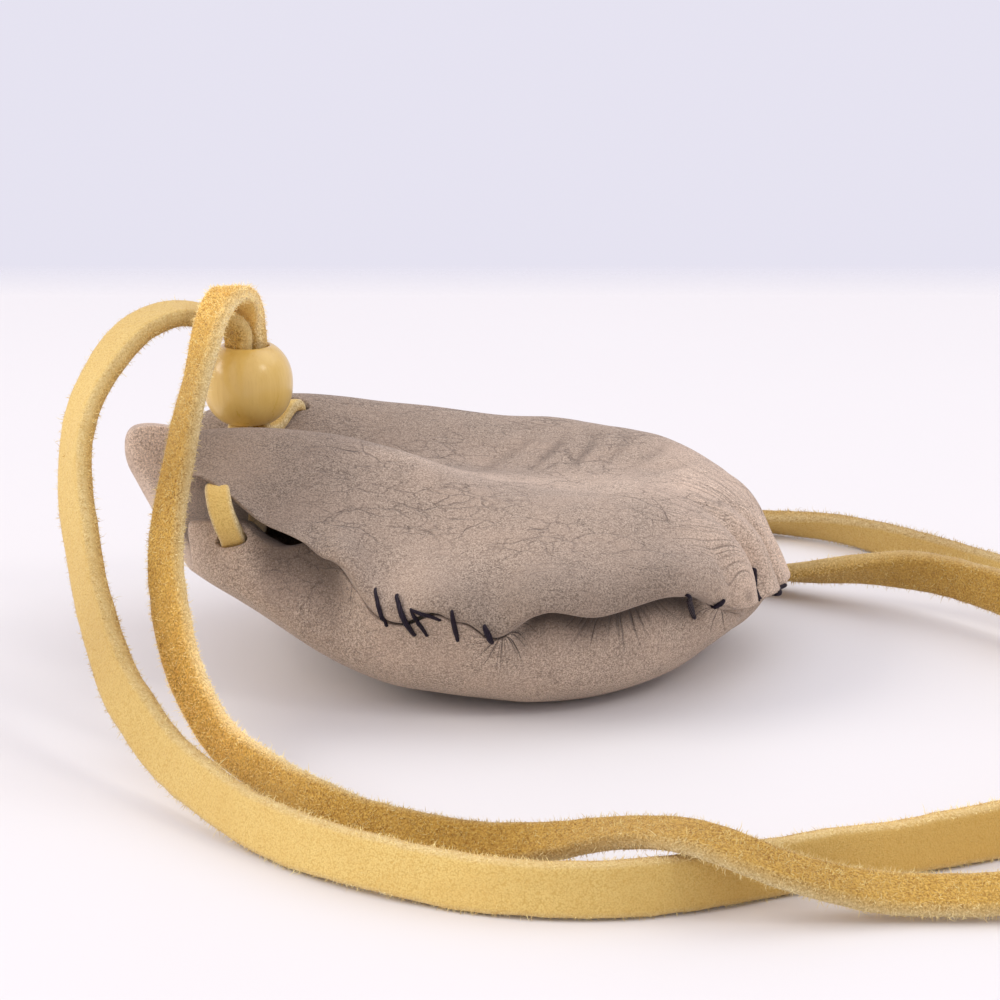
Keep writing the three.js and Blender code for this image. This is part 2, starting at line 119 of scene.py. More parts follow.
# Rise of the near seam over its smooth line: x, rise
SEAM_WAVE = np.array([
    (-26.0, -0.2), (-23.0, -0.4), (-20.2, 0.6), (-18.7, 1.0), (-17.1, 0.7), (-15.8, 1.5), (-14.6, 1.2),
    (-13.2, -0.9), (-12.3, -1.6), (-10.6, -1.6), (-9.1, -1.1), (-8.2, -0.3), (-6.9, 0.8), (-5.7, 1.1),
    (-4.7, 0.6), (-3.6, 0.7), (-2.8, 0.5), (-1.8, -0.5), (0.0, -0.9), (1.4, 0.0), (2.8, 1.0), (4.7, 1.2),
    (8.5, 0.1), (9.9, 0.0), (11.6, 0.2), (14.4, 0.8), (16.0, 1.1), (19.7, 1.3), (21.1, 0.3), (22.4, -0.2),
    (24.0, -0.4), (26.0, 0.0),
])
SEAM_SMOOTHING = 0.5
SEAM_CLOSE = 0.5
FAR_CLOSE = 0.35
LIP_REACH = 5.5
LOWER_LIP_REACH = 4.5
LIP_PUSH = 0.8
LIP_BULGE = 1.5
LIP_BULGE_AT = 3.0
TUCK_DEPTH = 2.6
TUCK_RISE = 0.9
END_REACH = 4.0
END_TUCK = 1.3
END_DROP = 0.5
BELLY_BAND = 2.0

# Stretches with soft ends, here and below: first and last place, then over how far each end fades
SLACK_SPAN = (0.5, 21.0, 3.0, 3.0)
BULGE_SPAN = (-20.0, 28.0, 6.0, 6.0)

# Soft steps, here and below: where they start, then over how far
SEWN_FROM = (-15.0, 2.0)
UNEVEN_FROM = (-22.0, 10.0)
END_FROM = (21.0, 4.0)

# The near rim of the lower flap drops right of the lace hole, then is tucked in behind the upper one
MOUTH_DROP = 0.7
MOUTH_DROP_SPAN = (-25.6, -19.0, 2.0, 3.0)
MOUTH_TUCK_SPAN = (-22.5, -13.5, 5.5, 3.0)
MOUTH_TUCK_RISE = 1.9
MOUTH_TUCK_DEPTH = 1.4

# Rounded corners of the flaps at the mouth: share of the length and of the width, near corner then far corner
UPPER_CORNERS = ((0.03, 0.07), (0.03, 0.07))
LOWER_CORNERS = ((0.03, 0.08), (0.075, 0.15))

# Gathers that the stitches pull into the edge: x, y on the edge, depth, reach inward, width
PLEATS = (
    (26.9, -11.0, 2.6, 11.0, 0.95), (29.6, -5.6, 2.1, 10.0, 0.8), (31.0, 1.5, 1.2, 8.0, 0.9),
    (29.2, 8.2, 1.2, 8.0, 0.9), (25.4, 14.2, 1.0, 7.0, 1.1), (22.6, -17.0, 0.9, 6.0, 0.9),
    (19.5, 20.4, 0.8, 6.0, 1.2), (13.5, 25.0, 0.7, 6.0, 1.3), (7.0, 27.8, 0.7, 6.0, 1.3),
    (0.5, 28.8, 0.7, 6.0, 1.3), (-6.0, 27.8, 0.7, 6.0, 1.3), (-11.5, 25.6, 0.7, 6.0, 1.3),
    (-11.4, -25.6, 0.3, 5.0, 0.9), (-9.4, -26.5, 0.3, 5.0, 0.9), (-4.2, -28.2, 0.4, 4.0, 0.9),
    (-1.0, -28.6, 0.4, 4.0, 0.9), (24.7, -14.2, -1.0, 7.0, 2.3), (28.4, -8.4, -0.8, 6.0, 1.5),
    (30.6, -2.0, -0.5, 6.0, 1.6), (25.8, -12.8, 0.25, 16.0, 0.45), (27.4, -10.0, 0.25, 17.0, 0.45),
    (28.6, -7.6, 0.25, 15.0, 0.45), (29.3, -6.2, 0.25, 17.0, 0.45), (30.3, -3.4, 0.22, 15.0, 0.45),
)
PLEAT_CENTRE = (6.0, 0.0)
LOWER_PLEAT_SHARE = 0.3
LOWER_PLEAT_REACH = 0.6
PLEAT_SPREAD = 0.6
PLEAT_EDGE_SHARE = 0.4
PLEAT_FULL_AT = 1.8

# Soft creases that fan out behind the valley
CREASE_CENTRE = (8.0, 6.0)
CREASE_RADII = (12.0, 6.5)
CREASE_SLANT = 0.6
CREASE_SPACING = 4.2
CREASE_DEPTH = 0.16
CREASE_WANDER = 2.8
CREASE_WANDER_LENGTH = 19.0
CREASE_MEAN = 0.7
CREASE_SWING = 0.5
CREASE_PATCH = 9.0
# Painted shade on the creases' highs, where the surface dips, and how narrowly it gathers there
FOLD_SHADE = 0.85
FOLD_POWER = 1.6

# Fine lines that the end's gather draws on the upper panel
LINES_MEET = (30.5, -8.5)
LINES_PER_TURN = 9.0
LINES_FROM = 6.0
LINES_OVER = 4.0
LINES_REACH = 24.0
LINES_ALONG = (4.0, 8.0)
LINES_STRENGTH = 0.75

# Hairline cracks: patches of them, on the upper panel's top, fewer at its mouth and on the lower panel
CRACK_MEAN = 0.72
CRACK_SWING = 0.5
CRACK_PATCH = 12.0
CRACKS_ABOVE = (12.0, 6.0)
MOUTH_CRACKS = 0.35
MOUTH_CRACKS_END = (-22.0, 8.0)
LOWER_CRACKS = 0.35
LOWER_CRACKS_ABOVE = (1.0, 3.0)
RIM_CRACKS_AT = -19.0
RIM_CRACKS_REACH = 6.0

# Gathers of the lower panel's near seam: x, height above the edge where the lines meet, half width
GATHERS = np.array([(0.3, 1.0, 2.4), (11.0, 4.0, 4.2), (21.8, 1.0, 2.2)])
GATHERS_FROM = (-16.0, 4.0)
GATHER_LINES_PER_TURN = 5.0
GATHER_REACH = 8.0
GATHER_STRENGTH = 2.2
GATHER_STRENGTH_LEAST = 0.2
GATHER_STRENGTH_MOST = 1.9

# Shade on the lower panel under the lip, and deeper under the mouth: from and over how far below the lip line
LIP_SHADE = 1.6
LIP_SHADE_FROM = 1.2
LIP_SHADE_REACH = 1.7
MOUTH_SHADE = 1.25
MOUTH_SHADE_REACH = 4.6
MOUTH_SHADE_SPAN = (-26.0, -13.5, 3.5, 3.0)

# Tone of the upper panel: at its mouth, then what the middle, the end, the crest (rubbed paler, with a
# painted highlight), the far slope (painted shade) and the lip (painted shade where it turns under) add to it
UPPER_TONE = 0.72
MIDDLE_TONE = 0.25
MIDDLE_FROM = (-24.0, 22.0)
END_TONE = 0.35
END_TONE_FROM = (14.0, 8.0)
CREST_RUB_AND_HIGHLIGHT = 0.25
CREST_FROM = (-18.0, 8.0)
FAR_PAINTED_SHADE = -0.1
FAR_PAINTED_SHADE_AT = 13.0
FAR_PAINTED_SHADE_REACH = 7.0
FAR_PAINTED_SHADE_SPAN = (-16.0, 18.0, 6.0, 8.0)
LIP_PAINTED_SHADE = -0.38
LIP_PAINTED_SHADE_REACH = 7.0
LIP_PAINTED_SHADE_SPAN = (-9.0, 26.0, 8.0, 5.0)

# Tone of the lower panel, what the mouth's tongue adds to it by a step towards -X, and unevenness of both
# panels' tones (depth, length)
LOWER_TONE = 1.09
TONGUE_TONE = 0.62
TONGUE_FROM = (29.0, 6.0)
TONE_WAVES = ((0.05, 9.0),)

# The crest between the near flank and the valley: x, y, half width
CREST_LINE = np.array([
    (-14.0, -8.3, 1.8), (-7.0, -8.0, 2.0), (-2.0, -5.0, 3.2), (8.0, -5.0, 4.2), (15.0, -6.0, 4.4),
    (21.0, -1.0, 3.0),
])

# The leather's own unevenness: depth, length
LEATHER_WAVES = ((0.22, 11.0), (0.07, 4.5))

# Lace holes in the panels: a point of the lace near each one, and the hole's half sizes
HOLE_HALF_LENGTH = 1.65
HOLE_HALF_HEIGHT = 1.0
HOLE_LEAST_RADIUS = 0.2
UPPER_HOLES = ((-27.2, -1.6, 21.2), (-22.3, 11.3, 22.2))
LOWER_HOLES = ((-26.5, -15.5, 16.1), (-26.2, 17.0, 15.8))

# Painted shade on the inner faces and on the lace's stretch inside the pouch, where little light reaches:
# share of the outer tone that is kept, x where it sets in and over how far, then the stretch of the drawn
# lace that lies inside
INSIDE_PAINTED_SHADE = 0.4
INSIDE_FROM = (-31.0, 4.0)
INSIDE_LACE_PAINTED_SHADE = (33.0, 68.0, 3.0, 3.0)

# Flat lace: width, thickness and corner radius
OUTER_SIZES = (4.7, 1.8, 0.5)
INNER_SIZES = (3.8, 1.6, 0.5)
DRAWN_SIZES = (2.5, 1.3, 0.4)
KNOT_SIZES = (3.4, 1.5, 0.4)
TAIL_SIZES = (4.0, 1.5, 0.4)

# The lace's rings, its lowest point, its unevenness (depth, length), and how wide and pale its cut edges are
LACE_STEP = 0.45
LACE_RING = 32
LACE_FLOOR = 0.03
LACE_SWELL = ((0.05, 16.0), (0.02, 3.0))
LACE_SWAY = ((0.12, 9.0), (0.05, 2.5))
CUT_BAND = 0.8
# The outer strand's cut edges are kept less pale: painted shade, for they face down and away from the light
OUTER_EDGE_SHARE_SHADED = 0.5
INNER_EDGE_SHARE = 0.95
ROUTE_DENSITY = 40

# Lace routes: x, y, z of the middle line, then the way the face looks
OUTER_ROUTE = np.array([
    (-27.2, 2.7, 30.9, 0.7, 0.7, 0), (-27.2, 2.7, 32.5, 0.7, 0.7, 0),
    (-27.4, 2.6, 33.4, 0.69, 0.69, 0.15), (-28.9, 2, 34.8, 0.4, 0.4, 0.8),
    (-31.4, 0.7, 35.5, 0.05, -0.1, 1), (-34.2, -1.4, 35.8, -0.15, -0.2, 0.97),
    (-37, -4.6, 34.8, -0.4, -0.4, 0.8), (-39.4, -8.6, 32.4, -0.6, -0.6, 0.5),
    (-41.1, -12.8, 29.1, -0.7, -0.65, 0.25), (-41.6, -17, 25.4, -0.72, -0.69, 0),
    (-41, -21.5, 21.3, -0.7, -0.7, 0), (-39.8, -26, 17.5, -0.7, -0.7, 0),
    (-38.3, -31, 14, -0.65, -0.75, 0), (-36.4, -36, 10.7, -0.6, -0.8, 0),
    (-33.9, -41, 7.6, -0.58, -0.8, 0.1), (-29.5, -47.2, 4.5, -0.6, -0.75, 0.2),
    (-21.6, -57.4, 2.7, -0.6, -0.75, 0.2), (-12.5, -65.8, 2.6, -0.45, -0.85, 0.15),
    (-1.6, -71.2, 2.5, -0.2, -0.97, 0.1), (8.1, -72.4, 2.5, 0.05, -1, 0.1),
    (16.3, -70.6, 2.5, 0.25, -0.97, 0.1), (23.1, -67.6, 2.5, 0.35, -0.93, 0.1),
    (32, -64, 2.5, 0.4, -0.9, 0.1), (42.7, -59.4, 2.5, 0.45, -0.9, 0.05),
    (52.5, -53.4, 2.5, 0.6, -0.8, 0), (60.5, -45, 2.5, 0.85, -0.5, 0), (64.5, -33, 2.6, 1, -0.1, 0),
    (64, -20.5, 3.1, 0.95, 0.3, 0), (59.8, -8, 4.1, 0.85, 0.5, 0), (53.2, 2.6, 5, 0.7, 0.7, 0),
    (46.7, 9.2, 5.2, 0.5, 0.8, 0.3), (39.8, 13.8, 4.2, 0.25, 0.6, 0.75),
    (32.5, 17.8, 2.6, 0.1, 0.3, 0.95), (25.5, 23, 1.6, 0, 0, 1), (18, 28.4, 1.4, 0, 0, 1),
    (10.5, 32.2, 1.7, 0, 0, 1), (4, 34.3, 2.6, 0, 0, 1), (1.6, 35.4, 3.1, 0, 0, 1),
    (-0.6, 36, 3.2, 0, 0, 1),
])
INNER_ROUTE = np.array([
    (-25.7, 4.2, 30.9, 0.7, 0.7, 0), (-25.7, 4.2, 32.35, 0.7, 0.7, 0), (-25.9, 4, 33.6, 0.65, 0.75, 0.1),
    (-26.3, 3.3, 35.5, 0.4, 0.8, 0.45), (-27.1, 1.2, 37.3, 0, 0.4, 0.95),
    (-28, -2.4, 37.9, -0.1, -0.05, 0.98), (-29, -7, 36.2, -0.55, -0.4, 0.7),
    (-29.7, -12, 32.6, -0.75, -0.55, 0.3), (-30.6, -16.8, 28.6, -0.72, -0.65, 0.15),
    (-31.3, -20.5, 24.4, -0.68, -0.72, 0.1), (-31.9, -23.6, 20.2, -0.6, -0.8, 0),
    (-32, -26, 16.8, -0.5, -0.85, 0), (-31.4, -28.7, 13.2, -0.4, -0.92, 0),
    (-30.3, -31.8, 9.4, -0.4, -0.9, 0.05), (-28.3, -35.5, 6, -0.45, -0.88, 0.15),
    (-25.4, -39.8, 3.4, -0.55, -0.8, 0.2), (-21, -45.8, 2.4, -0.6, -0.75, 0.25),
    (-14.6, -53.6, 2.2, -0.5, -0.75, 0.4), (-8.3, -58.8, 2.1, -0.3, -0.8, 0.5),
    (-1.6, -62.2, 2.3, -0.1, -0.7, 0.7), (3.6, -63.8, 3.1, -0.05, -0.45, 0.88),
    (7.6, -65.4, 4.3, -0.1, -0.25, 0.96), (11.2, -67.6, 5.5, -0.15, -0.1, 0.98),
    (14.8, -70.2, 6.3, -0.1, -0.1, 0.99), (18.4, -72.2, 6, 0, -0.2, 0.97),
    (22, -73.2, 4.9, 0.1, -0.3, 0.93), (25.6, -73, 3.6, 0.15, -0.35, 0.93),
    (29.4, -72.4, 2.5, 0.15, -0.4, 0.9), (34, -72.2, 1.9, 0.05, -0.4, 0.9),
    (40.5, -72.2, 1.9, 0, -0.45, 0.88), (52, -71, 2.2, 0.2, -0.8, 0.6), (63, -66, 2.3, 0.55, -0.8, 0.25),
    (72, -55, 2.2, 0.85, -0.5, 0.1), (76, -40, 2.1, 1, -0.1, 0), (75.5, -23, 2.1, 0.98, 0.2, 0),
    (71, -6, 2.1, 0.9, 0.4, 0), (63.5, 9.5, 2.1, 0.85, 0.55, 0), (54.5, 22, 2.2, 0.75, 0.65, 0.1),
    (46.7, 31.6, 2.2, 0.6, 0.75, 0.2), (39.5, 38.2, 2.2, 0.4, 0.75, 0.5), (31, 42.2, 1.9, 0.2, 0.55, 0.8),
    (21, 43.4, 1.5, 0, 0.2, 0.98), (12, 42, 1.6, 0, 0, 1), (4.1, 39.6, 2.6, 0, 0, 1),
    (1.6, 38.6, 3.1, 0, 0, 1), (-0.6, 38, 3.2, 0, 0, 1),
])
DRAWN_ROUTE = np.array([
    (-27.2, 2.7, 30.6, 0.7, 0.7, 0), (-27.2, 2.7, 27, 0.7, 0.7, 0), (-27.2, 2.6, 24, 0.5, 0.85, 0),
    (-27.2, 1.9, 22, 0.1, 0.8, -0.6), (-27.2, -0.4, 21.2, 0, 0.25, -0.97),
    (-27.2, -3.4, 20.8, 0, 0.2, -1), (-27.6, -8, 20.1, 0, 0, -1), (-27.9, -12.8, 20.4, 0, 0.05, -1),
    (-28, -15.2, 20.8, 0, 0.4, -0.9), (-27.7, -16.6, 19.7, 0, 0.9, -0.4), (-27.1, -17, 17.9, 0, 1, 0.1),
    (-26.5, -15.8, 16.2, 0, 0.8, 0.6), (-26.2, -13.4, 13.4, 0, 0.6, 0.8), (-26, -9.6, 11.4, 0, 0.4, 0.9),
    (-26, -4, 10.4, 0, 0.1, 1), (-26, 3, 10.4, 0, -0.1, 1), (-26, 10, 11.4, 0, -0.4, 0.9),
    (-26, 14.6, 13.9, 0, -0.65, 0.75), (-26.2, 17.4, 16.2, 0, -0.9, 0.4),
    (-25.9, 18.2, 18.2, 0, -1, -0.2), (-25.1, 16.6, 19.6, 0, -0.5, -0.87), (-23.7, 13.8, 20, 0, -0.1, -1),
    (-22.5, 11.8, 21, 0, -0.75, -0.65), (-22.1, 10.9, 22.9, 0, -0.95, -0.2),
    (-22.9, 9.2, 23.8, 0, 0.1, -0.98), (-24.3, 6.7, 22.4, 0.2, 0.75, -0.65),
    (-25.4, 4.8, 22, 0, -0.5, -0.85), (-25.6, 4.4, 24, -0.6, -0.8, 0), (-25.6, 4.3, 27, -0.7, -0.7, 0),
    (-25.6, 4.3, 30.6, -0.7, -0.7, 0),
])

# Loose fibres of the lace: how many, their sizes, and how they lean and bend
FUZZ_OUTER = 40000
FUZZ_INNER = 64000
FUZZ_ON_EDGES = 1.1
FUZZ_ON_GRAIN = 0.02
FIBRE_LENGTH = 0.43
FIBRE_LENGTH_SPREAD = 0.35
FIBRE_WIDTH = 0.065
FIBRE_KNEE = 0.55
FIBRE_KNEE_HALF = 0.4
FIBRE_ROOT = 0.08
FIBRE_JITTER = 0.3
FIBRE_STAND = (0.25, 0.9)
FIBRE_LEAN = 0.6
FIBRE_BEND = 0.5
FIBRE_FLOOR = 0.02
FIBRE_TONE = (0.58, 0.28)
FIBRE_TIPS = (0.0, 0.0, 0.5, 0.5, 1.0)
CLUMP_WAVES = ((0.75, 1.2),)

# The strands are squeezed into the bead: share of the width there, and the length over which it widens
OUTER_SQUEEZE = 0.58
INNER_SQUEEZE = 0.72
SQUEEZE_LENGTH = 7.0

# Painted shade on the outer strand's far part: its grain turns darker and ochre, from this length and over
# this length
WARM_SHADE_FROM = 104.0
WARM_SHADE_OVER = 60.0

# Tone along each strand, partly its own paler and darker stretches and partly painted light and shade:
# length, share of the plain tone
OUTER_TONES_AND_SHADE = np.array([
    (0, 1.0), (10, 0.92), (28, 1.0), (44, 0.93), (55, 0.84), (70, 0.92), (90, 1.0), (109, 1.06),
    (130, 0.88), (144, 1.1), (200, 1.0), (239, 0.8), (250, 1.0),
])
INNER_TONES_AND_SHADE = np.array([
    (0, 1.0), (4, 1.3), (15, 1.25), (24, 1.0), (35, 0.84), (44, 1.02), (56, 1.34), (66, 1.36), (74, 1.1),
    (84, 0.94), (98, 0.76), (106, 0.88), (130, 0.94), (138, 1.0), (255, 0.95), (270, 0.76), (295, 0.8),
    (310, 1.0),
])

# Bead
BEAD_DIAMETER = 9.5
BEAD_HOLE_DIAMETER = 4.5
BEAD_RIM_PASSES = 16
BEAD_ROUNDNESS = 2.2
BEAD_CENTRE = np.array((-26.4, 3.5, 27.6))
BEAD_RINGS = 72
BEAD_SIDES = 96

# Whip stitches that the photo shows: place along and across the upper panel, then along and across the
# lower one, and the thread's radius
SHOWN_STITCHES = (
    (0.3797, 0.0245, 0.4649, 0.0100, 0.23),
    (0.4161, 0.0300, 0.4949, 0.0410, 0.29),
    (0.4381, 0.0080, 0.5080, 0.0520, 0.21),
    (0.4381, 0.0080, 0.5230, 0.0080, 0.20),
    (0.4796, 0.0080, 0.5413, 0.0465, 0.26),
    (0.5150, 0.0100, 0.5782, 0.0100, 0.32),
    (0.7897, 0.0040, 0.8225, 0.0905, 0.30),
    (0.8662, 0.0190, 0.8764, 0.0100, 0.25),
    (0.9308, 0.2059, 0.9873, 0.1289, 0.30),
    (0.9954, 0.3378, 0.9954, 0.2609, 0.25),
)

# Thread of the stitches: its radius, how deep its ends sink, its points, how high leather may stand over the
# straight line, its steps and ring, then shares of the radius (its rest off the leather, how near leather
# counts and its end size) and a way that no stitch runs
THREAD_RADIUS = 0.25
STITCH_SINK = 0.3
STITCH_POINTS = 9
STITCH_LIFT = 2.5
STITCH_STEPS = 40
STITCH_RING = 10
STITCH_REST = 0.5
STITCH_BAND = 1.4
STITCH_END_SIZE = 0.3
STITCH_SIDE_HINT = (0.31, 0.17, 0.93)

# Stitches of the far side: how far inside the edge they start and stop
FAR_STITCH_START = 2.0
FAR_STITCH_STOP = 1.4

# Knot behind the pouch
KNOT_CENTRE = np.array((-1.0, 37.0, 3.3))
KNOT_RADIUS = 2.9
KNOT_STRETCH = (1.0, 1.2, 0.78)
KNOT_END_SHARE = 0.82
KNOT_TURNS = 2.3
KNOT_PITCH = 2.6
KNOT_WAVE = 0.5
KNOT_POINTS = 26
KNOT_TAILS = (
    ((1.5, 38.4, 3.4), (-3.5, 38.8, 3.2), (-8.0, 40.6, 1.8), (-12.6, 42.8, 0.9), (-17.0, 44.9, 0.9)),
    ((1.5, 35.6, 3.4), (-3.5, 35.4, 3.2), (-8.2, 34.2, 1.8), (-13.0, 32.8, 0.9), (-17.4, 31.6, 0.9)),
)


# Geometry helpers

def unit(vectors):
    """Each vector divided by its length."""
    return vectors / np.maximum(np.linalg.norm(vectors, axis=-1, keepdims=True), 1e-9)


def smoothstep(values):
    """The cubic 3 s^2 - 2 s^3 of values held between 0 and 1."""
    s = np.clip(values, 0.0, 1.0)
    return s * s * (3.0 - 2.0 * s)


def rising(x, first, over):
    """0 up to a place and 1 beyond it, with a smooth step after it."""
    return smoothstep((x - first) / over)


def between(x, first, last, fade_in, fade_out):
    """1 between two places and 0 outside them, with a smooth step inside each."""
    return smoothstep((x - first) / fade_in) * smoothstep((last - x) / fade_out)


def bell(x, middle, width):
    """1 at the middle, falling off as the exponential of the squared distance."""
    return np.exp(-((x - middle) / width) ** 2)


def curve(points, t):
    """A smooth curve through points. Between two points it is the cubic whose slope at each point is half
    the step between that point's neighbours, and the ends are reflected."""
    count = len(points)
    padded = np.concatenate([[2 * points[0] - points[1]], points, [2 * points[-1] - points[-2]]])
    place = np.clip(t, 0.0, 1.0) * (count - 1)
    k = np.minimum(place.astype(int), count - 2)
    f = (place - k).reshape((-1,) + (1,) * (points.ndim - 1))
    before, start, stop, after = padded[k], padded[k + 1], padded[k + 2], padded[k + 3]
    slope_start, slope_stop = 0.5 * (stop - before), 0.5 * (after - start)
    cubic = 2 * (start - stop) + slope_start + slope_stop
    square = 3 * (stop - start) - 2 * slope_start - slope_stop
    return cubic * f ** 3 + square * f ** 2 + slope_start * f + start


def ripples(points, wavelength, seed):
    """Soft unevenness from about -1 to 1: the mean of sine waves with seeded directions, phases and lengths,
    times a gain."""
    rng = np.random.default_rng(seed)
    directions = unit(rng.normal(size=(RIPPLE_WAVES, 3)))
    lengths = wavelength * rng.uniform(*RIPPLE_LENGTHS, RIPPLE_WAVES)
    phases = rng.uniform(0.0, 2 * math.pi, RIPPLE_WAVES)
    return RIPPLE_GAIN * np.sin(2 * math.pi * (points @ directions.T) / lengths + phases).mean(axis=-1)


def unevenness(points, waves, seed):
    """A sum of ripples: each row of waves gives one's depth and length."""
    return sum(depth * ripples(points, length, seed + number) for number, (depth, length) in enumerate(waves))


def arc_length(points, axis):
    """Running length of a grid's lines along one of its axes."""
    steps = np.linalg.norm(np.diff(points, axis=axis), axis=-1)
    start = np.zeros_like(np.take(steps, [0], axis=axis))
    return np.cumsum(np.concatenate([start, steps], axis=axis), axis=axis)


def grid_normals(points, side):
    """Unit normals of a grid: the cross product of its two directions, turned to the given side."""
    along = np.gradient(points, axis=0)
    across = np.gradient(points, axis=1)
    return unit(np.cross(along, across)) * side


def grid_quads(index):
    """The quads between neighbours of a grid of vertex numbers."""
    return np.stack([index[:-1, :-1], index[1:, :-1], index[1:, 1:], index[:-1, 1:]], axis=-1)


def make_piece(name, points, quads, triangles=None, attributes=None):
    """A mesh object at the origin from points in millimetres, quads, triangles and point attributes."""
    if triangles is None:
        triangles = np.zeros((0, 3), int)
    mesh = bpy.data.meshes.new(name)
    corners = np.concatenate([quads.ravel(), triangles.ravel()]).astype(np.int32)
    starts = np.concatenate([4 * np.arange(len(quads)), 4 * len(quads) + 3 * np.arange(len(triangles))])
    mesh.vertices.add(len(points))
    mesh.vertices.foreach_set("co", (points * MM).astype(np.float32).ravel())
    mesh.loops.add(len(corners))
    mesh.loops.foreach_set("vertex_index", corners)
    mesh.polygons.add(len(starts))
    mesh.polygons.foreach_set("loop_start", starts.astype(np.int32))
    mesh.polygons.foreach_set("use_smooth", np.ones(len(starts), bool))
    for label, values in (attributes or {}).items():
        vector = values.ndim == 2
        layer = mesh.attributes.new(label, "FLOAT_VECTOR" if vector else "FLOAT", "POINT")
        layer.data.foreach_set("vector" if vector else "value", values.astype(np.float32).ravel())
    mesh.update(calc_edges=True)
    mesh.validate()
    piece = bpy.data.objects.new(name, mesh)
    bpy.context.scene.collection.objects.link(piece)
    return piece


def dress(piece, material, slot, *nodes):
    """Gives a piece its material, puts it on the body and hides the nodes that it stands for. The slot is not
    used.
    """
    piece.data.materials.append(material)
    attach(piece, ROOT)
    if nodes:
        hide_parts(*nodes)
    return piece


# Shader helpers

def put(tree, socket, value):
    """Links a socket to another one, or sets its plain value."""
    if isinstance(value, bpy.types.NodeSocket):
        tree.links.new(value, socket)
    else:
        socket.default_value = value


def fill(tree, target, inputs):
    """Links or sets a node's inputs by name or number."""
    for label, value in inputs.items():
        put(tree, target.inputs[label], value)


def node(tree, kind, inputs=None, **settings):
    """A new shader node with its settings and its inputs."""
    new = tree.nodes.new(kind)
    for label, value in settings.items():
        setattr(new, label, value)
    fill(tree, new, inputs or {})
    return new


def noise(tree, vector, scale, detail=2.0, roughness=0.5, distortion=0.0):
    """Value of a noise texture."""
    inputs = {"Vector": vector, "Scale": scale, "Detail": detail}
    inputs.update({"Roughness": roughness, "Distortion": distortion})
    return node(tree, "ShaderNodeTexNoise", inputs).outputs[0]


def ranged(tree, value, low, high, to_low=0.0, to_high=1.0):
    """A value carried from one range to another and held there."""
    return node(tree, "ShaderNodeMapRange", {0: value, 1: low, 2: high, 3: to_low, 4: to_high}).outputs[0]


def maths(tree, operation, first, second=0.0):
    """One arithmetic step on two values."""
    return node(tree, "ShaderNodeMath", {0: first, 1: second}, operation=operation).outputs[0]


def blended(tree, share, first, second, way="MIX"):
    """Two colours mixed by a share."""
    mix = node(tree, "ShaderNodeMix", {0: share, 6: first, 7: second}, data_type="RGBA", blend_type=way)
    return mix.outputs[2]


def scaled(tree, vector, scale):
    """A vector stretched along its axes."""
    return node(tree, "ShaderNodeMapping", {"Vector": vector, "Scale": scale}).outputs[0]


def marks_of(tree, *labels):
    """The values of mesh attributes."""
    return [node(tree, "ShaderNodeAttribute", attribute_name=label).outputs["Fac"] for label in labels]


def vector_mark(tree, label):
    """The vector of a mesh attribute."""
    return node(tree, "ShaderNodeAttribute", attribute_name=label).outputs["Vector"]


def object_place(tree):
    """The place on the object itself."""
    return node(tree, "ShaderNodeTexCoord").outputs["Object"]


def new_group(name, inputs, outputs):
    """An empty shader node group with named sockets, and its input and output nodes."""
    tree = bpy.data.node_groups.new(name, "ShaderNodeTree")
    for label, kind in inputs:
        tree.interface.new_socket(label, in_out="INPUT", socket_type=kind)
    for label, kind in outputs:
        tree.interface.new_socket(label, in_out="OUTPUT", socket_type=kind)
    return tree, tree.nodes.new("NodeGroupInput"), tree.nodes.new("NodeGroupOutput")


def use_group(tree, group, inputs):
    """A node group placed in a material with its own values."""
    return node(tree, "ShaderNodeGroup", inputs, node_tree=group)


VALUE = "NodeSocketFloat"
VECTOR = "NodeSocketVector"


def speckle_group():
    """Speckle of a brushed skin: fine noise for the nap, the lows of another noise for its pits, coarser
    noise for its tufts and wide noise for blotches."""
    tree, start, end = new_group("speckle", [("Vector", VECTOR), ("Scale", VALUE)],
                                 [("Nap", VALUE), ("Pits", VALUE), ("Tufts", VALUE), ("Blotches", VALUE)])
    vector, scale = start.outputs["Vector"], start.outputs["Scale"]
    pores = noise(tree, vector, maths(tree, "MULTIPLY", scale, 0.7), 3.0, 0.75)
    fill(tree, end, {
        "Nap": noise(tree, vector, scale, 2.0, 0.7),
        "Pits": ranged(tree, pores, 0.39, 0.45, 1.0, 0.0),
        "Tufts": noise(tree, vector, maths(tree, "MULTIPLY", scale, 0.3), 3.0, 0.6, 0.4),
        "Blotches": noise(tree, vector, maths(tree, "MULTIPLY", scale, 0.03), 3.0, 0.55),
    })
    return tree


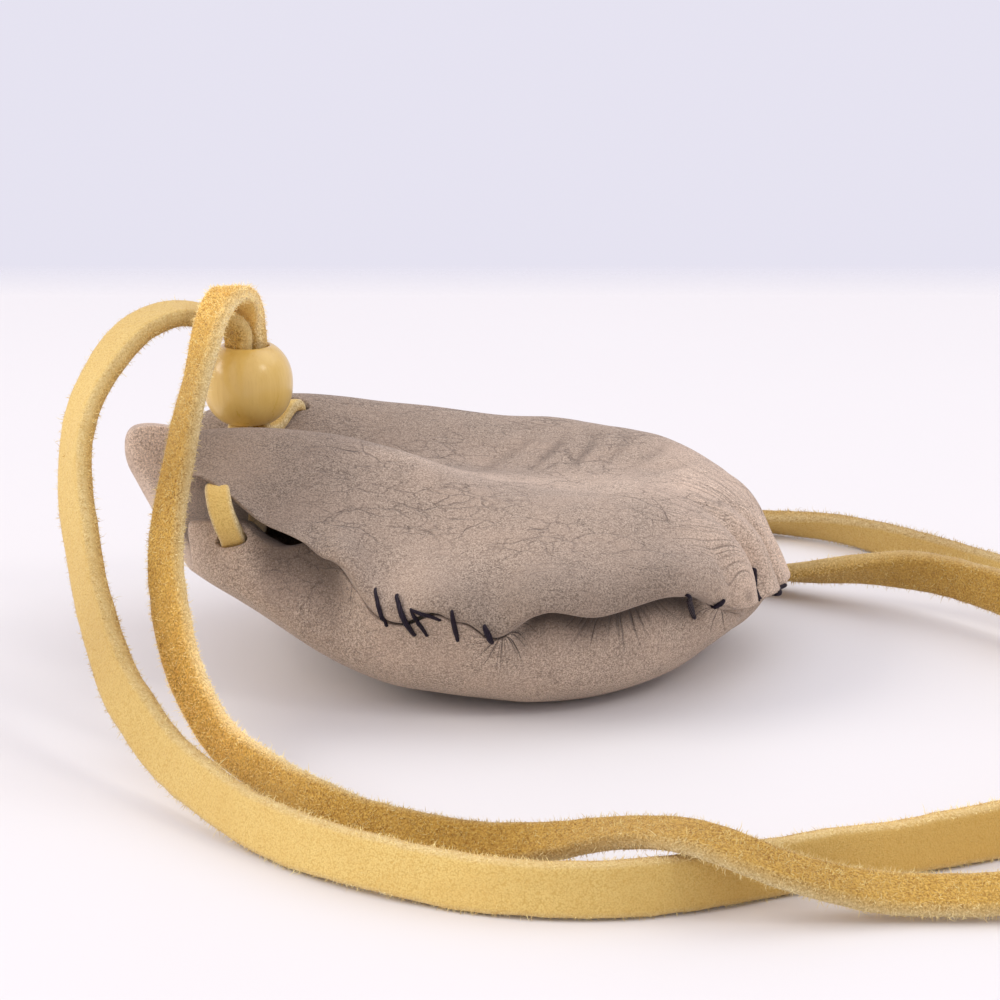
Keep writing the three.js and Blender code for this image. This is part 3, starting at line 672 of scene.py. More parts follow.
def cracks_group():
    """Hairline cracks: thin borders of warped cells, broken up by wide noise and kept where the mask is."""
    tree, start, end = new_group("hairline_cracks", [("Vector", VECTOR), ("Scale", VALUE), ("Width", VALUE),
                                                     ("Mask", VALUE)], [("Cracks", VALUE)])
    vector, scale = start.outputs["Vector"], start.outputs["Scale"]
    warp_scale = maths(tree, "MULTIPLY", scale, 1.7)
    warp = node(tree, "ShaderNodeTexNoise", {"Vector": vector, "Scale": warp_scale, "Detail": 3.0})
    shift = node(tree, "ShaderNodeVectorMath", {0: warp.outputs[1], 1: (0.5, 0.5, 0.5)}, operation="SUBTRACT")
    reach = maths(tree, "DIVIDE", 0.55, scale)
    step = node(tree, "ShaderNodeVectorMath", {0: shift.outputs[0], "Scale": reach}, operation="SCALE")
    bent = node(tree, "ShaderNodeVectorMath", {0: vector, 1: step.outputs[0]}, operation="ADD")
    cells = node(tree, "ShaderNodeTexVoronoi", {"Vector": bent.outputs[0], "Scale": scale},
                 feature="DISTANCE_TO_EDGE")
    line = ranged(tree, cells.outputs["Distance"], 0.0, start.outputs["Width"], 1.0, 0.0)
    breaks = ranged(tree, noise(tree, vector, maths(tree, "MULTIPLY", scale, 0.8), 2.0), 0.42, 0.54)
    kept = maths(tree, "MULTIPLY", maths(tree, "MULTIPLY", line, breaks), start.outputs["Mask"])
    put(tree, end.inputs["Cracks"], kept)
    return tree


def drawn_lines_group():
    """Lines that pulled leather shows: one thin line at a seeded place in each cell across the pull, at two
    sizes, each with its own length and strength, wandering a little and kept where the mask is. The vector
    holds the place across the lines, the share of the longest line and the number of the set."""
    tree, start, end = new_group("drawn_lines", [("Vector", VECTOR), ("Width", VALUE), ("Mask", VALUE)],
                                 [("Lines", VALUE)])
    vector, width = start.outputs["Vector"], start.outputs["Width"]
    part = node(tree, "ShaderNodeSeparateXYZ", {0: vector}).outputs
    wander = maths(tree, "SUBTRACT", noise(tree, scaled(tree, vector, (1.1, 1.6, 1.0)), 1.0, 2.0), 0.5)
    place = maths(tree, "ADD", part["X"], maths(tree, "MULTIPLY", wander, 0.6))
    found = []
    for size, strength in ((1.0, 1.0), (2.3, 0.7)):
        across = maths(tree, "MULTIPLY", place, size)
        cell = maths(tree, "FLOOR", across)
        key = node(tree, "ShaderNodeCombineXYZ", {"X": cell, "Y": part["Z"], "Z": size}).outputs[0]
        seeded = node(tree, "ShaderNodeTexWhiteNoise", {"Vector": key}).outputs["Color"]
        chance = node(tree, "ShaderNodeSeparateColor", {0: seeded}).outputs
        middle = ranged(tree, chance["Red"], 0.0, 1.0, 0.25, 0.75)
        within = maths(tree, "SUBTRACT", across, cell)
        apart = maths(tree, "ABSOLUTE", maths(tree, "SUBTRACT", within, middle))
        length = ranged(tree, chance["Green"], 0.0, 1.0, 0.25, 1.0)
        left = ranged(tree, maths(tree, "DIVIDE", part["Y"], length), 0.3, 1.0, 1.0, 0.0)
        thin = maths(tree, "MULTIPLY", width, maths(tree, "MULTIPLY", size, maths(tree, "ADD", left, 0.1)))
        line = ranged(tree, apart, 0.0, thin, 1.0, 0.0)
        strong = ranged(tree, chance["Blue"], 0.15, 0.7, 0.0, strength)
        found.append(maths(tree, "MULTIPLY", maths(tree, "MULTIPLY", line, left), strong))
    lines = maths(tree, "MAXIMUM", found[0], found[1])
    put(tree, end.inputs["Lines"], maths(tree, "MULTIPLY", lines, start.outputs["Mask"]))
    return tree


def new_material(name):
    """A material with a Principled shader, its tree and that shader."""
    material = bpy.data.materials.new(name)
    material.use_nodes = True
    tree = material.node_tree
    return material, tree, tree.nodes["Principled BSDF"]


def bump(tree, height, strength, distance, below=None):
    """A bump from a height, laid over another one where there is one."""
    inputs = {"Height": height, "Strength": strength, "Distance": distance}
    if below is not None:
        inputs["Normal"] = below
    return node(tree, "ShaderNodeBump", inputs).outputs[0]


def nubuck_material(speckle, cracks, drawn_lines):
    """Taupe nubuck: speckled nap with dark pits and soft blotches, paler where it is rubbed, times a tone
    that also holds painted light and shade, with painted shade in folds and under the lip, hairline cracks,
    drawn lines and a dull cut edge."""
    material, tree, shader = new_material("nubuck")
    place = object_place(tree)
    grain = use_group(tree, speckle, {"Vector": place, "Scale": 6500.0})
    nap, pits, tufts, blotches = (grain.outputs[label] for label in ("Nap", "Pits", "Tufts", "Blotches"))
    painted_shade, crease, pucker, cut, tone = marks_of(tree, "painted_shade", "crease", "pucker", "cut", "tone")
    grained = scaled(tree, place, (0.52, 1.0, 1.0))
    wide_cracks = use_group(tree, cracks, {"Vector": grained, "Scale": 280.0, "Width": 0.024, "Mask": crease})
    fine_cracks = use_group(tree, cracks, {"Vector": grained, "Scale": 680.0, "Width": 0.05, "Mask": crease})
    drawn = use_group(tree, drawn_lines, {"Vector": vector_mark(tree, "drawn"), "Width": 0.1, "Mask": pucker})
    base = blended(tree, ranged(tree, nap, 0.4, 0.6), (0.28, 0.212, 0.157, 1), (0.63, 0.500, 0.385, 1))
    base = blended(tree, maths(tree, "MULTIPLY", pits, 0.85), base, (0.16, 0.115, 0.083, 1))
    base = blended(tree, ranged(tree, tufts, 0.35, 0.7, 0.0, 0.35), base, (0.36, 0.272, 0.206, 1))
    base = blended(tree, ranged(tree, blotches, 0.35, 0.7, 0.0, 0.4), base, (0.50, 0.372, 0.278, 1))
    # The tone holds painted light and shade: a highlight on the crest, shade on the far slope, the lip and
    # the inner faces
    base = blended(tree, 1.0, base, tone, "MULTIPLY")
    # Painted shade: dark in the creases' dips on the upper panel, and under the lip and the mouth on the
    # lower one
    base = blended(tree, maths(tree, "MULTIPLY", painted_shade, 0.6), base, (0.055, 0.038, 0.029, 1))
    faint = maths(tree, "ADD", maths(tree, "MULTIPLY", wide_cracks.outputs[0], 0.6),
                  maths(tree, "MULTIPLY", fine_cracks.outputs[0], 0.52))
    lines = maths(tree, "MAXIMUM", faint, drawn.outputs[0])
    base = blended(tree, maths(tree, "MULTIPLY", lines, 0.8), base, (0.07, 0.048, 0.036, 1))
    base = blended(tree, maths(tree, "MULTIPLY", cut, 0.5), base, (0.33, 0.25, 0.195, 1))
    soft = bump(tree, tufts, 0.35, 0.00025)
    fine = bump(tree, maths(tree, "SUBTRACT", nap, maths(tree, "MULTIPLY", pits, 0.4)), 0.5, 0.00012, soft)
    fill(tree, shader, {
        "Base Color": base,
        "Roughness": ranged(tree, nap, 0.3, 0.7, 0.82, 0.97),
        "Normal": bump(tree, maths(tree, "SUBTRACT", 1.0, lines), 0.6, 0.0003, fine),
        "Specular IOR Level": 0.2,
        "Sheen Weight": 0.12,
        "Sheen Roughness": 0.45,
    })
    return material


def toned(tree, colour):
    """A colour multiplied by the strand's tone, which holds painted light and shade as well as its own paler
    and darker stretches, and warmer where that is dark.
    """
    shade, = marks_of(tree, "shade")
    colour = blended(tree, 1.0, colour, shade, "MULTIPLY")
    return blended(tree, ranged(tree, shade, 0.5, 1.0, 0.5, 0.0), colour, (0.44, 0.21, 0.022, 1))


def deerskin_material(speckle):
    """Yellow deerskin lace: pebbled, wrinkled grain on one face, brushed ochre flesh on the other, and cream
    cut edges that turn ochre towards the flesh side. Painted shade makes the outer strand's far grain darker
    and ochre and the drawn lace dark inside the pouch, and the strand's tone holds painted light and shade."""
    material, tree, shader = new_material("deerskin")
    place = object_place(tree)
    flesh, cut, warm_shade, dark = marks_of(tree, "flesh", "cut", "warm_shade", "dark")
    strand = vector_mark(tree, "strand")
    skin = use_group(tree, speckle, {"Vector": place, "Scale": 5000.0})
    nap, pits, tufts, blotches = (skin.outputs[label] for label in ("Nap", "Pits", "Tufts", "Blotches"))
    pebbles = node(tree, "ShaderNodeTexVoronoi", {"Vector": place, "Scale": 6500.0}).outputs["Distance"]
    folds = noise(tree, scaled(tree, strand, (1.3, 0.8, 1.0)), 1.0, 3.0, 0.6, 0.5)
    grain = blended(tree, ranged(tree, pebbles, 0.4, 0.8), (0.81, 0.59, 0.195, 1), (0.64, 0.42, 0.11, 1))
    grain = blended(tree, maths(tree, "MULTIPLY", pits, 0.5), grain, (0.62, 0.39, 0.09, 1))
    grain = blended(tree, ranged(tree, folds, 0.48, 0.66, 0.0, 0.3), grain, (0.72, 0.47, 0.13, 1))
    # Painted shade: the outer strand's far grain turns darker and ochre, as it looks in less light
    grain = blended(tree, maths(tree, "MULTIPLY", warm_shade, 0.75), grain, (0.55, 0.32, 0.06, 1))
    suede = blended(tree, ranged(tree, nap, 0.35, 0.65), (0.27, 0.115, 0.01, 1), (0.80, 0.52, 0.115, 1))
    suede = blended(tree, ranged(tree, tufts, 0.38, 0.66, 0.0, 0.5), suede, (0.62, 0.36, 0.06, 1))
    edge = blended(tree, ranged(tree, nap, 0.3, 0.7), (0.40, 0.26, 0.08, 1), (0.95, 0.80, 0.45, 1))
    ragged = maths(tree, "ADD", flesh, ranged(tree, nap, 0.3, 0.7, -0.25, 0.25))
    colour = blended(tree, ranged(tree, ragged, 0.35, 0.65), grain, suede)
    pale = maths(tree, "MULTIPLY", cut, ranged(tree, flesh, 0.25, 1.0, 1.0, 0.35))
    colour = blended(tree, pale, colour, edge)
    colour = blended(tree, ranged(tree, blotches, 0.4, 0.7, 0.0, 0.3), colour, (0.66, 0.42, 0.11, 1))
    # The strand's tone, with its painted light and shade
    colour = toned(tree, colour)
    # Painted shade on the drawn lace's stretch inside the pouch
    colour = blended(tree, maths(tree, "MULTIPLY", dark, 0.85), colour, (0.06, 0.035, 0.012, 1))
    rough = maths(tree, "MULTIPLY", nap, ranged(tree, flesh, 0.0, 1.0, 0.4, 1.0))
    height = maths(tree, "ADD", rough, maths(tree, "MULTIPLY", folds, 0.9))
    knobs = maths(tree, "SUBTRACT", height, maths(tree, "MULTIPLY", pebbles, 0.3))
    fill(tree, shader, {
        "Base Color": colour,
        "Roughness": ranged(tree, flesh, 0.0, 1.0, 0.7, 0.95),
        "Normal": bump(tree, knobs, 0.6, 0.00025),
        "Specular IOR Level": 0.25,
        "Sheen Weight": 0.15,
        "Sheen Roughness": 0.5,
    })
    return material


def fibre_material():
    """Loose fibres: from brown roots to pale golden tips, each with a tone of its own, times the strand's
    tone with its painted light and shade.
    """
    material, tree, shader = new_material("fibres")
    tone, tip, pale = marks_of(tree, "tone", "tip", "pale")
    body = blended(tree, tone, (0.52, 0.27, 0.03, 1), (1.0, 0.87, 0.40, 1))
    body = blended(tree, maths(tree, "MULTIPLY", pale, 0.7), body, (0.95, 0.81, 0.46, 1))
    body = blended(tree, ranged(tree, tip, 0.0, 1.0, 0.0, 0.5), body, (1.0, 0.86, 0.42, 1))
    fill(tree, shader, {"Base Color": toned(tree, body), "Roughness": 0.9, "Specular IOR Level": 0.15})
    return material


def wood_material():
    """Honey wood: long streaks along the bore, wide tone changes and a satin coat."""
    material, tree, shader = new_material("bead_wood")
    place = object_place(tree)
    streaks = noise(tree, scaled(tree, place, (1.0, 1.0, 0.07)), 1500.0, 3.0, 0.6)
    fine = noise(tree, scaled(tree, place, (1.0, 1.0, 0.05)), 5200.0, 2.0, 0.6)
    tone = noise(tree, place, 170.0, 2.0, 0.5, 0.6)
    colour = blended(tree, ranged(tree, streaks, 0.35, 0.65), (0.71, 0.46, 0.10, 1), (0.76, 0.51, 0.13, 1))
    colour = blended(tree, ranged(tree, tone, 0.35, 0.7, 0.0, 0.6), colour, (0.82, 0.58, 0.19, 1))
    colour = blended(tree, ranged(tree, fine, 0.58, 0.75, 0.0, 0.14), colour, (0.52, 0.30, 0.06, 1))
    fill(tree, shader, {
        "Base Color": colour,
        "Roughness": ranged(tree, streaks, 0.3, 0.7, 0.27, 0.36),
        "Normal": bump(tree, maths(tree, "ADD", streaks, fine), 0.12, 0.0002),
        "Specular IOR Level": 0.4,
        "Coat Weight": 0.5,
        "Coat Roughness": 0.2,
    })
    return material


def thread_material():
    """Dark waxed thread: twisted plies and a dull wax shine."""
    material, tree, shader = new_material("waxed_thread")
    strand = vector_mark(tree, "strand")
    plies = node(tree, "ShaderNodeTexWave", {"Vector": scaled(tree, strand, (1.0, 0.9, 1.0)), "Scale": 0.9,
                                             "Distortion": 1.2}, bands_direction="DIAGONAL").outputs["Fac"]
    fill(tree, shader, {
        "Base Color": blended(tree, plies, (0.005, 0.003, 0.006, 1), (0.024, 0.013, 0.027, 1)),
        "Roughness": ranged(tree, plies, 0.0, 1.0, 0.6, 0.42),
        "Normal": bump(tree, plies, 0.5, 0.0002),
        "Specular IOR Level": 0.22,
    })
    return material


def floor_material():
    """Matt white table that fades out at its far edge."""
    material, tree, shader = new_material("table_white")
    place = object_place(tree)
    shade = noise(tree, place, 9.0, 2.0)
    depth = node(tree, "ShaderNodeSeparateXYZ", {0: place}).outputs["Y"]
    fill(tree, shader, {
        "Base Color": blended(tree, shade, (0.785, 0.767, 0.75, 1), (0.805, 0.787, 0.77, 1)),
        "Alpha": ranged(tree, depth, FADE_START * MM, FADE_END * MM, 1.0, 0.0),
        "Roughness": 0.55,
        "Specular IOR Level": 0.25,
    })
    return material


# Leather panels

def border_steps(count):
    """Steps from 0 to 1, even inside and closer together at both borders."""
    fine = np.array(EDGE_STEPS)
    inside = np.linspace(fine[-1], 1.0 - fine[-1], count)[1:-1]
    return np.concatenate([fine, inside, 1.0 - fine[::-1]])


def rounded_mouth(along, across, corners):
    """Places along each line of the panel. A line near a corner of the mouth starts later, by the height of a
    quarter ellipse, so that the corner is round."""
    (near_length, near_width), (far_length, far_width) = corners
    near = np.clip((near_width - across) / near_width, 0.0, 1.0)
    far = np.clip((across - 1.0 + far_width) / far_width, 0.0, 1.0)
    start = near_length * (1.0 - np.sqrt(1.0 - near ** 2)) + far_length * (1.0 - np.sqrt(1.0 - far ** 2))
    return start + (1.0 - start) * along[:, None]


def panel_face(sections, along, across):
    """The outer face: a smooth curve along each column of the section table, then one across the columns."""
    row_shares = curve(np.eye(len(sections)), along.ravel()).reshape(along.shape + (-1,))
    column_shares = curve(np.eye(sections.shape[1]), across)
    return np.einsum("ijr,jc,rcx->ijx", row_shares, column_shares, sections, optimize=True)


def seam_rise(x):
    """Rise of the near seam at x: the table's straight stretches, averaged over a small window."""
    places, rises = SEAM_WAVE[:, 0], SEAM_WAVE[:, 1]
    window = (-SEAM_SMOOTHING, 0.0, SEAM_SMOOTHING)
    return sum(np.interp(x + shift, places, rises) for shift in window) / len(window)


def pleat_depth(face, reach_share):
    """Depth of the gathers: each is a bell across its line, which runs inward from the edge and fades out. At
    the edge itself a gather is shallow, so that the seam stays closed."""
    depth = np.zeros(face.shape[:2])
    for x, y, deep, reach, width in PLEATS:
        inward = unit(np.array(PLEAT_CENTRE) - (x, y))
        offset = face[..., :2] - (x, y)
        inside = offset @ inward
        run = np.clip(inside / (reach * reach_share), 0.0, 1.0)
        held = PLEAT_EDGE_SHARE + (1.0 - PLEAT_EDGE_SHARE) * smoothstep(inside / PLEAT_FULL_AT)
        aside = offset @ np.array((-inward[1], inward[0]))
        depth += deep * held * bell(aside, 0.0, width * (1.0 + PLEAT_SPREAD * run)) * (1.0 - run) ** 2
    return depth


def crease_wave(points):
    """The soft creases: a sine across slanted lines that wander, inside a bell round the valley's far slope,
    stronger in some patches."""
    x, y = points[..., 0], points[..., 1]
    slope = bell(x, CREASE_CENTRE[0], CREASE_RADII[0]) * bell(y, CREASE_CENTRE[1], CREASE_RADII[1])
    wandering = CREASE_WANDER * ripples(points, CREASE_WANDER_LENGTH, CREASE_SEED)
    phase = (x - CREASE_SLANT * y + wandering) / CREASE_SPACING
    patches = CREASE_MEAN + CREASE_SWING * ripples(points, CREASE_PATCH, CREASE_SEED + 1)
    return slope * np.sin(2 * math.pi * phase) * patches


def end_hold(face):
    """How near the rounded end's edge is: a bell of the distance from it, for the part beyond the last
    stitch."""
    run = arc_length(face, 0)
    return bell(run, run[-1:], END_REACH) * rising(face[..., 0], *END_FROM)


def shape_upper(face):
    """The upper face with its seam waves, a lip that bulges and turns under (s e^(1 - s) of the distance from
    the edge), gathers, fanned creases and unevenness."""
    from_near = arc_length(face, 1)
    hold = bell(from_near, 0.0, LIP_REACH)
    x = face[..., 0]
    face[..., 2] += seam_rise(x) * hold - END_DROP * end_hold(face)
    face[..., 1] -= LIP_PUSH * between(x, *SLACK_SPAN) * hold
    normal = grid_normals(face, 1)
    lift = rising(x, *UNEVEN_FROM) * unevenness(face, LEATHER_WAVES, UPPER_SEED)
    lift -= CREASE_DEPTH * crease_wave(face) + pleat_depth(face, 1.0)
    bulge = from_near / LIP_BULGE_AT * np.exp(1.0 - from_near / LIP_BULGE_AT)
    lift += LIP_BULGE * bulge * between(x, *BULGE_SPAN)
    return face + normal * lift[..., None]


def shape_lower(face):
    """The lower face. Its near edge follows the upper one where the seam is tight and is tucked in behind it
    where the seam is slack and beside the mouth. The end's edge is drawn in too. Shorter gathers, unevenness
    and a flat belly follow."""
    from_near = arc_length(face, 1)
    from_far = from_near[:, -1:] - from_near
    x = face[..., 0]
    hold = bell(from_near, 0.0, LOWER_LIP_REACH)
    slack = between(x, *SLACK_SPAN)
    mouth = between(x, *MOUTH_TUCK_SPAN)
    sewn = rising(x, *SEWN_FROM)
    rise = sewn * (seam_rise(x) + SEAM_CLOSE * (1.0 - slack))
    rise += TUCK_RISE * slack + MOUTH_TUCK_RISE * mouth - MOUTH_DROP * between(x, *MOUTH_DROP_SPAN)
    face[..., 2] += hold * rise
    face[..., 2] += FAR_CLOSE * sewn * bell(from_far, 0.0, LOWER_LIP_REACH)
    face[..., 1] += hold * (slack * TUCK_DEPTH + mouth * MOUTH_TUCK_DEPTH)
    face[..., :2] += END_TUCK * end_hold(face)[..., None] * unit(np.array(PLEAT_CENTRE) - face[..., :2])
    normal = grid_normals(face, -1)
    gathers = LOWER_PLEAT_SHARE * pleat_depth(face, LOWER_PLEAT_REACH)
    lift = unevenness(face, LEATHER_WAVES, LOWER_SEED) - gathers
    lift *= rising(x, *UNEVEN_FROM) * smoothstep(face[..., 2] / BELLY_BAND)
    face = face + normal * lift[..., None]
    face[..., 2] = np.maximum(face[..., 2], 0.0)
    return face


def wall_of(face, rim_way, along, across, side):
    """Middle of the leather, its normal and half thickness. The normal turns to the rim's level way at the
    sewn edges, and the half thickness is a quarter circle at every border, so that the cut edge is round."""
    normal = grid_normals(face, side)
    from_edge = np.minimum(across, 1.0 - across)[None, :] / RIM_BAND_ACROSS
    from_end = (1.0 - along) / RIM_BAND_END
    rim = (1.0 - smoothstep(np.minimum(from_edge, from_end)))[..., None]
    normal = unit(normal * (1.0 - rim) + rim_way * rim)
    run, span = arc_length(face, 0), arc_length(face, 1)
    border = np.minimum.reduce([run, run[-1:] - run, span, span[:, -1:] - span])
    half = 0.5 * LEATHER_THICKNESS * np.sqrt(1.0 - np.clip(1.0 - border / EDGE_ROUND, 0.0, 1.0) ** 2)
    return face - normal * (0.5 * LEATHER_THICKNESS), normal, half, border


def cut_hole(middle, removed, lace_point):
    """Marks the cells of a lace hole and moves its border onto an ellipse round the middle's nearest
    point."""
    flat = middle.reshape(-1, 3)
    row, column = np.unravel_index(np.argmin(np.linalg.norm(flat - lace_point, axis=1)), middle.shape[:2])
    centre = middle[row, column].copy()
    length_way = unit(middle[row + 1, column] - middle[row - 1, column])
    height_way = unit(middle[row, column + 1] - middle[row, column - 1])
    offset = middle - centre
    radius = np.hypot(offset @ length_way / HOLE_HALF_LENGTH, offset @ height_way / HOLE_HALF_HEIGHT)
    near = np.linalg.norm(offset, axis=-1) < 3 * HOLE_HALF_LENGTH
    corner = np.where(near, radius, np.inf)
    cell = 0.25 * (corner[:-1, :-1] + corner[1:, :-1] + corner[1:, 1:] + corner[:-1, 1:])
    hole = cell < 1.0
    padded = np.pad(hole, 1).astype(int)
    touching = padded[:-1, :-1] + padded[1:, :-1] + padded[1:, 1:] + padded[:-1, 1:]
    rim = (touching > 0) & (touching < 4)
    middle[rim] = centre + offset[rim] / np.maximum(radius[rim], HOLE_LEAST_RADIUS)[:, None]
    return removed | hole


def hole_walls(outer, inner, removed):
    """Quads that join the outer and inner faces along the border between kept and removed cells."""
    walls = []
    left, right = removed[:, :-1], removed[:, 1:]
    start, stop = (slice(None, -1), slice(1, -1)), (slice(1, None), slice(1, -1))
    for chosen, first, second in ((~left & right, start, stop), (left & ~right, stop, start)):
        walls.append(np.stack([outer[first][chosen], outer[second][chosen],
                               inner[second][chosen], inner[first][chosen]], axis=-1))
    low, high = removed[:-1], removed[1:]
    start, stop = (slice(1, -1), slice(None, -1)), (slice(1, -1), slice(1, None))
    for chosen, first, second in ((~low & high, stop, start), (low & ~high, start, stop)):
        walls.append(np.stack([outer[first][chosen], outer[second][chosen],
                               inner[second][chosen], inner[first][chosen]], axis=-1))
    return np.concatenate(walls)


def leather_panel(name, sections, corners, shape, side, holes, lip_line=None):
    """A panel as a closed wall with round cut edges and open lace holes, and the grids that stitches sit on.
    The upper panel's side is 1, and the lower one's is -1 and its lip line the upper panel's near edge."""
    across = border_steps(PANEL_STEPS_ACROSS)
    along = rounded_mouth(border_steps(PANEL_STEPS_ALONG), across, corners)
    plain = panel_face(sections, along, across)
    rim_way = unit(grid_normals(plain, side) * (1.0, 1.0, 0.0))
    face = shape(plain)
    middle, normal, half, border = wall_of(face, rim_way, along, across, side)
    removed = np.zeros((len(along) - 1, len(across) - 1), bool)
    for lace_point in holes:
        removed = cut_hole(middle, removed, np.array(lace_point))
    outer_points = middle + normal * half[..., None]
    inner_points = middle - normal * half[..., None]
    outer_points[..., 2] = np.maximum(outer_points[..., 2], 0.0)
    outer = np.arange(middle[..., 0].size).reshape(middle.shape[:2])
    inner = outer.copy()
    inner[1:-1, 1:-1] = outer.size + np.arange(inner[1:-1, 1:-1].size).reshape(inner[1:-1, 1:-1].shape)
    kept = ~removed
    quads = np.concatenate([grid_quads(outer)[kept], grid_quads(inner)[kept][:, ::-1],
                            hole_walls(outer, inner, removed)])
    if side < 0:
        quads = quads[:, ::-1]
    points = np.concatenate([outer_points.reshape(-1, 3), inner_points[1:-1, 1:-1].reshape(-1, 3)])
    shown = upper_marks(outer_points, border) if side > 0 else lower_marks(outer_points, border, lip_line)
    shown["cut"] = 1.0 - smoothstep(border / EDGE_ROUND)
    marks = {}
    for label, values in shown.items():
        inside = values[1:-1, 1:-1]
        # Painted shade on the inner faces, where little light reaches inside the pouch
        if label == "tone":
            deep = rising(inner_points[1:-1, 1:-1, 0], *INSIDE_FROM)
            inside = inside * (1.0 - (1.0 - INSIDE_PAINTED_SHADE) * deep)
        marks[label] = np.concatenate([values.reshape((-1,) + values.shape[2:]),
                                       inside.reshape((-1,) + inside.shape[2:])])
    return make_piece(name, points, quads, attributes=marks), (outer_points, normal, along, across)


def crack_patches(points):
    """Share of the hairline cracks that show, from 0 to 1, in soft patches."""
    return np.clip(CRACK_MEAN + CRACK_SWING * ripples(points, CRACK_PATCH, CRACK_SEED), 0.0, 1.0)


def upper_marks(points, border):
    """Where the upper panel has painted shade in its folds, cracks and drawn lines, and its tone. The painted
    shade lies on the creases' highs, cracks cover the top, lines meet at the end's gather, and the tone is a
    sum of steps and bells, with a painted highlight on the crest and painted shade on the far slope and the
    lip."""
    x, y, z = points[..., 0], points[..., 1], points[..., 2]
    # Painted shade in the creases' dips
    painted_shade = FOLD_SHADE * np.clip(crease_wave(points), 0.0, 1.0) ** FOLD_POWER
    along = MOUTH_CRACKS + (1.0 - MOUTH_CRACKS) * rising(x, *MOUTH_CRACKS_END)
    crease = rising(z, *CRACKS_ABOVE) * along * crack_patches(points)
    away = np.hypot(x - LINES_MEET[0], y - LINES_MEET[1])
    turn = np.arctan2(y - LINES_MEET[1], LINES_MEET[0] - x)
    share = (away - LINES_FROM) / (LINES_REACH - LINES_FROM)
    drawn = np.stack([LINES_PER_TURN * turn, share, np.zeros_like(x)], axis=-1)
    pucker = LINES_STRENGTH * rising(x, *LINES_ALONG) * rising(away, LINES_FROM, LINES_OVER)
    # The crest is rubbed paler and gets a painted highlight; the far slope and the lip get painted shade
    crest_y = np.interp(x, CREST_LINE[:, 0], CREST_LINE[:, 1])
    crest_width = np.interp(x, CREST_LINE[:, 0], CREST_LINE[:, 2])
    crest = bell(y, crest_y, crest_width) * rising(x, *CREST_FROM)
    far = bell(y, FAR_PAINTED_SHADE_AT, FAR_PAINTED_SHADE_REACH) * between(x, *FAR_PAINTED_SHADE_SPAN)
    lip = bell(border, 0.0, LIP_PAINTED_SHADE_REACH) * between(x, *LIP_PAINTED_SHADE_SPAN) * (y < 0)
    tone = UPPER_TONE + MIDDLE_TONE * rising(x, *MIDDLE_FROM) + END_TONE * rising(x, *END_TONE_FROM)
    tone += CREST_RUB_AND_HIGHLIGHT * crest + FAR_PAINTED_SHADE * far + LIP_PAINTED_SHADE * lip
    tone += unevenness(points, TONE_WAVES, UPPER_TONE_SEED)
    return {"painted_shade": painted_shade, "crease": crease, "pucker": pucker, "drawn": drawn, "tone": tone}


def lower_marks(points, border, lip_line):
    """Where the lower panel is shaded, cracked and drawn in lines, and its tone. The shade is a bell below
    the lip line, deeper under the mouth, and lines fan out from the nearest gather of the near seam."""
    x, y, z = points[..., 0], points[..., 1], points[..., 2]
    below = np.interp(x, lip_line[:, 0], lip_line[:, 2]) - z
    mouth = between(x, *MOUTH_SHADE_SPAN)
    reach = LIP_SHADE_REACH + (MOUTH_SHADE_REACH - LIP_SHADE_REACH) * mouth
    shade = bell(np.maximum(below, LIP_SHADE_FROM), LIP_SHADE_FROM, reach) * (y < 0)
    # Painted shade under the lip and, deeper, under the mouth
    painted_shade = (LIP_SHADE * between(x, *SLACK_SPAN) + MOUTH_SHADE * mouth) * shade
    rim = bell(x, RIM_CRACKS_AT, RIM_CRACKS_REACH) * bell(border, 0.0, RIM_CRACKS_REACH) * (y < 0)
    crease = LOWER_CRACKS * crack_patches(points) * rising(z, *LOWER_CRACKS_ABOVE)
    crease = np.clip(crease + rim, 0.0, 1.0)
    aside = x[..., None] - GATHERS[:, 0]
    nearest = np.argmin(np.abs(aside) / GATHERS[:, 2], axis=-1)
    aside = np.take_along_axis(aside, nearest[..., None], axis=-1)[..., 0]
    meeting, width = GATHERS[nearest, 1], GATHERS[nearest, 2]
    turn = np.arctan2(aside, border + meeting)
    drawn = np.stack([GATHER_LINES_PER_TURN * turn, border / GATHER_REACH, 1.0 + nearest], axis=-1)
    pucker = GATHER_STRENGTH * bell(aside, 0.0, width) + GATHER_STRENGTH_LEAST
    pucker = np.minimum(pucker, GATHER_STRENGTH_MOST) * rising(x, *GATHERS_FROM)
    tone = LOWER_TONE + TONGUE_TONE * rising(-x, *TONGUE_FROM)
    tone += unevenness(points, TONE_WAVES, LOWER_TONE_SEED)
    return {"painted_shade": painted_shade, "crease": crease, "pucker": pucker, "drawn": drawn, "tone": tone}


# Lace

def ring_section(width, thickness, corner):
    """A rounded strip section: even places round a rectangle, with each corner pulled onto a circle."""
    place = (np.arange(LACE_RING) + 0.5) / LACE_RING * 2 * (width + thickness)
    w = np.clip(place, 0, width) - np.clip(place - width - thickness, 0, width) - width / 2
    up, down = np.clip(place - width, 0, thickness), np.clip(place - 2 * width - thickness, 0, thickness)
    section = np.stack([w, up - down - thickness / 2], axis=-1)
    reach = np.array((width / 2 - corner, thickness / 2 - corner))
    core = np.clip(section, -reach, reach)
    return core + corner * unit(section - core)


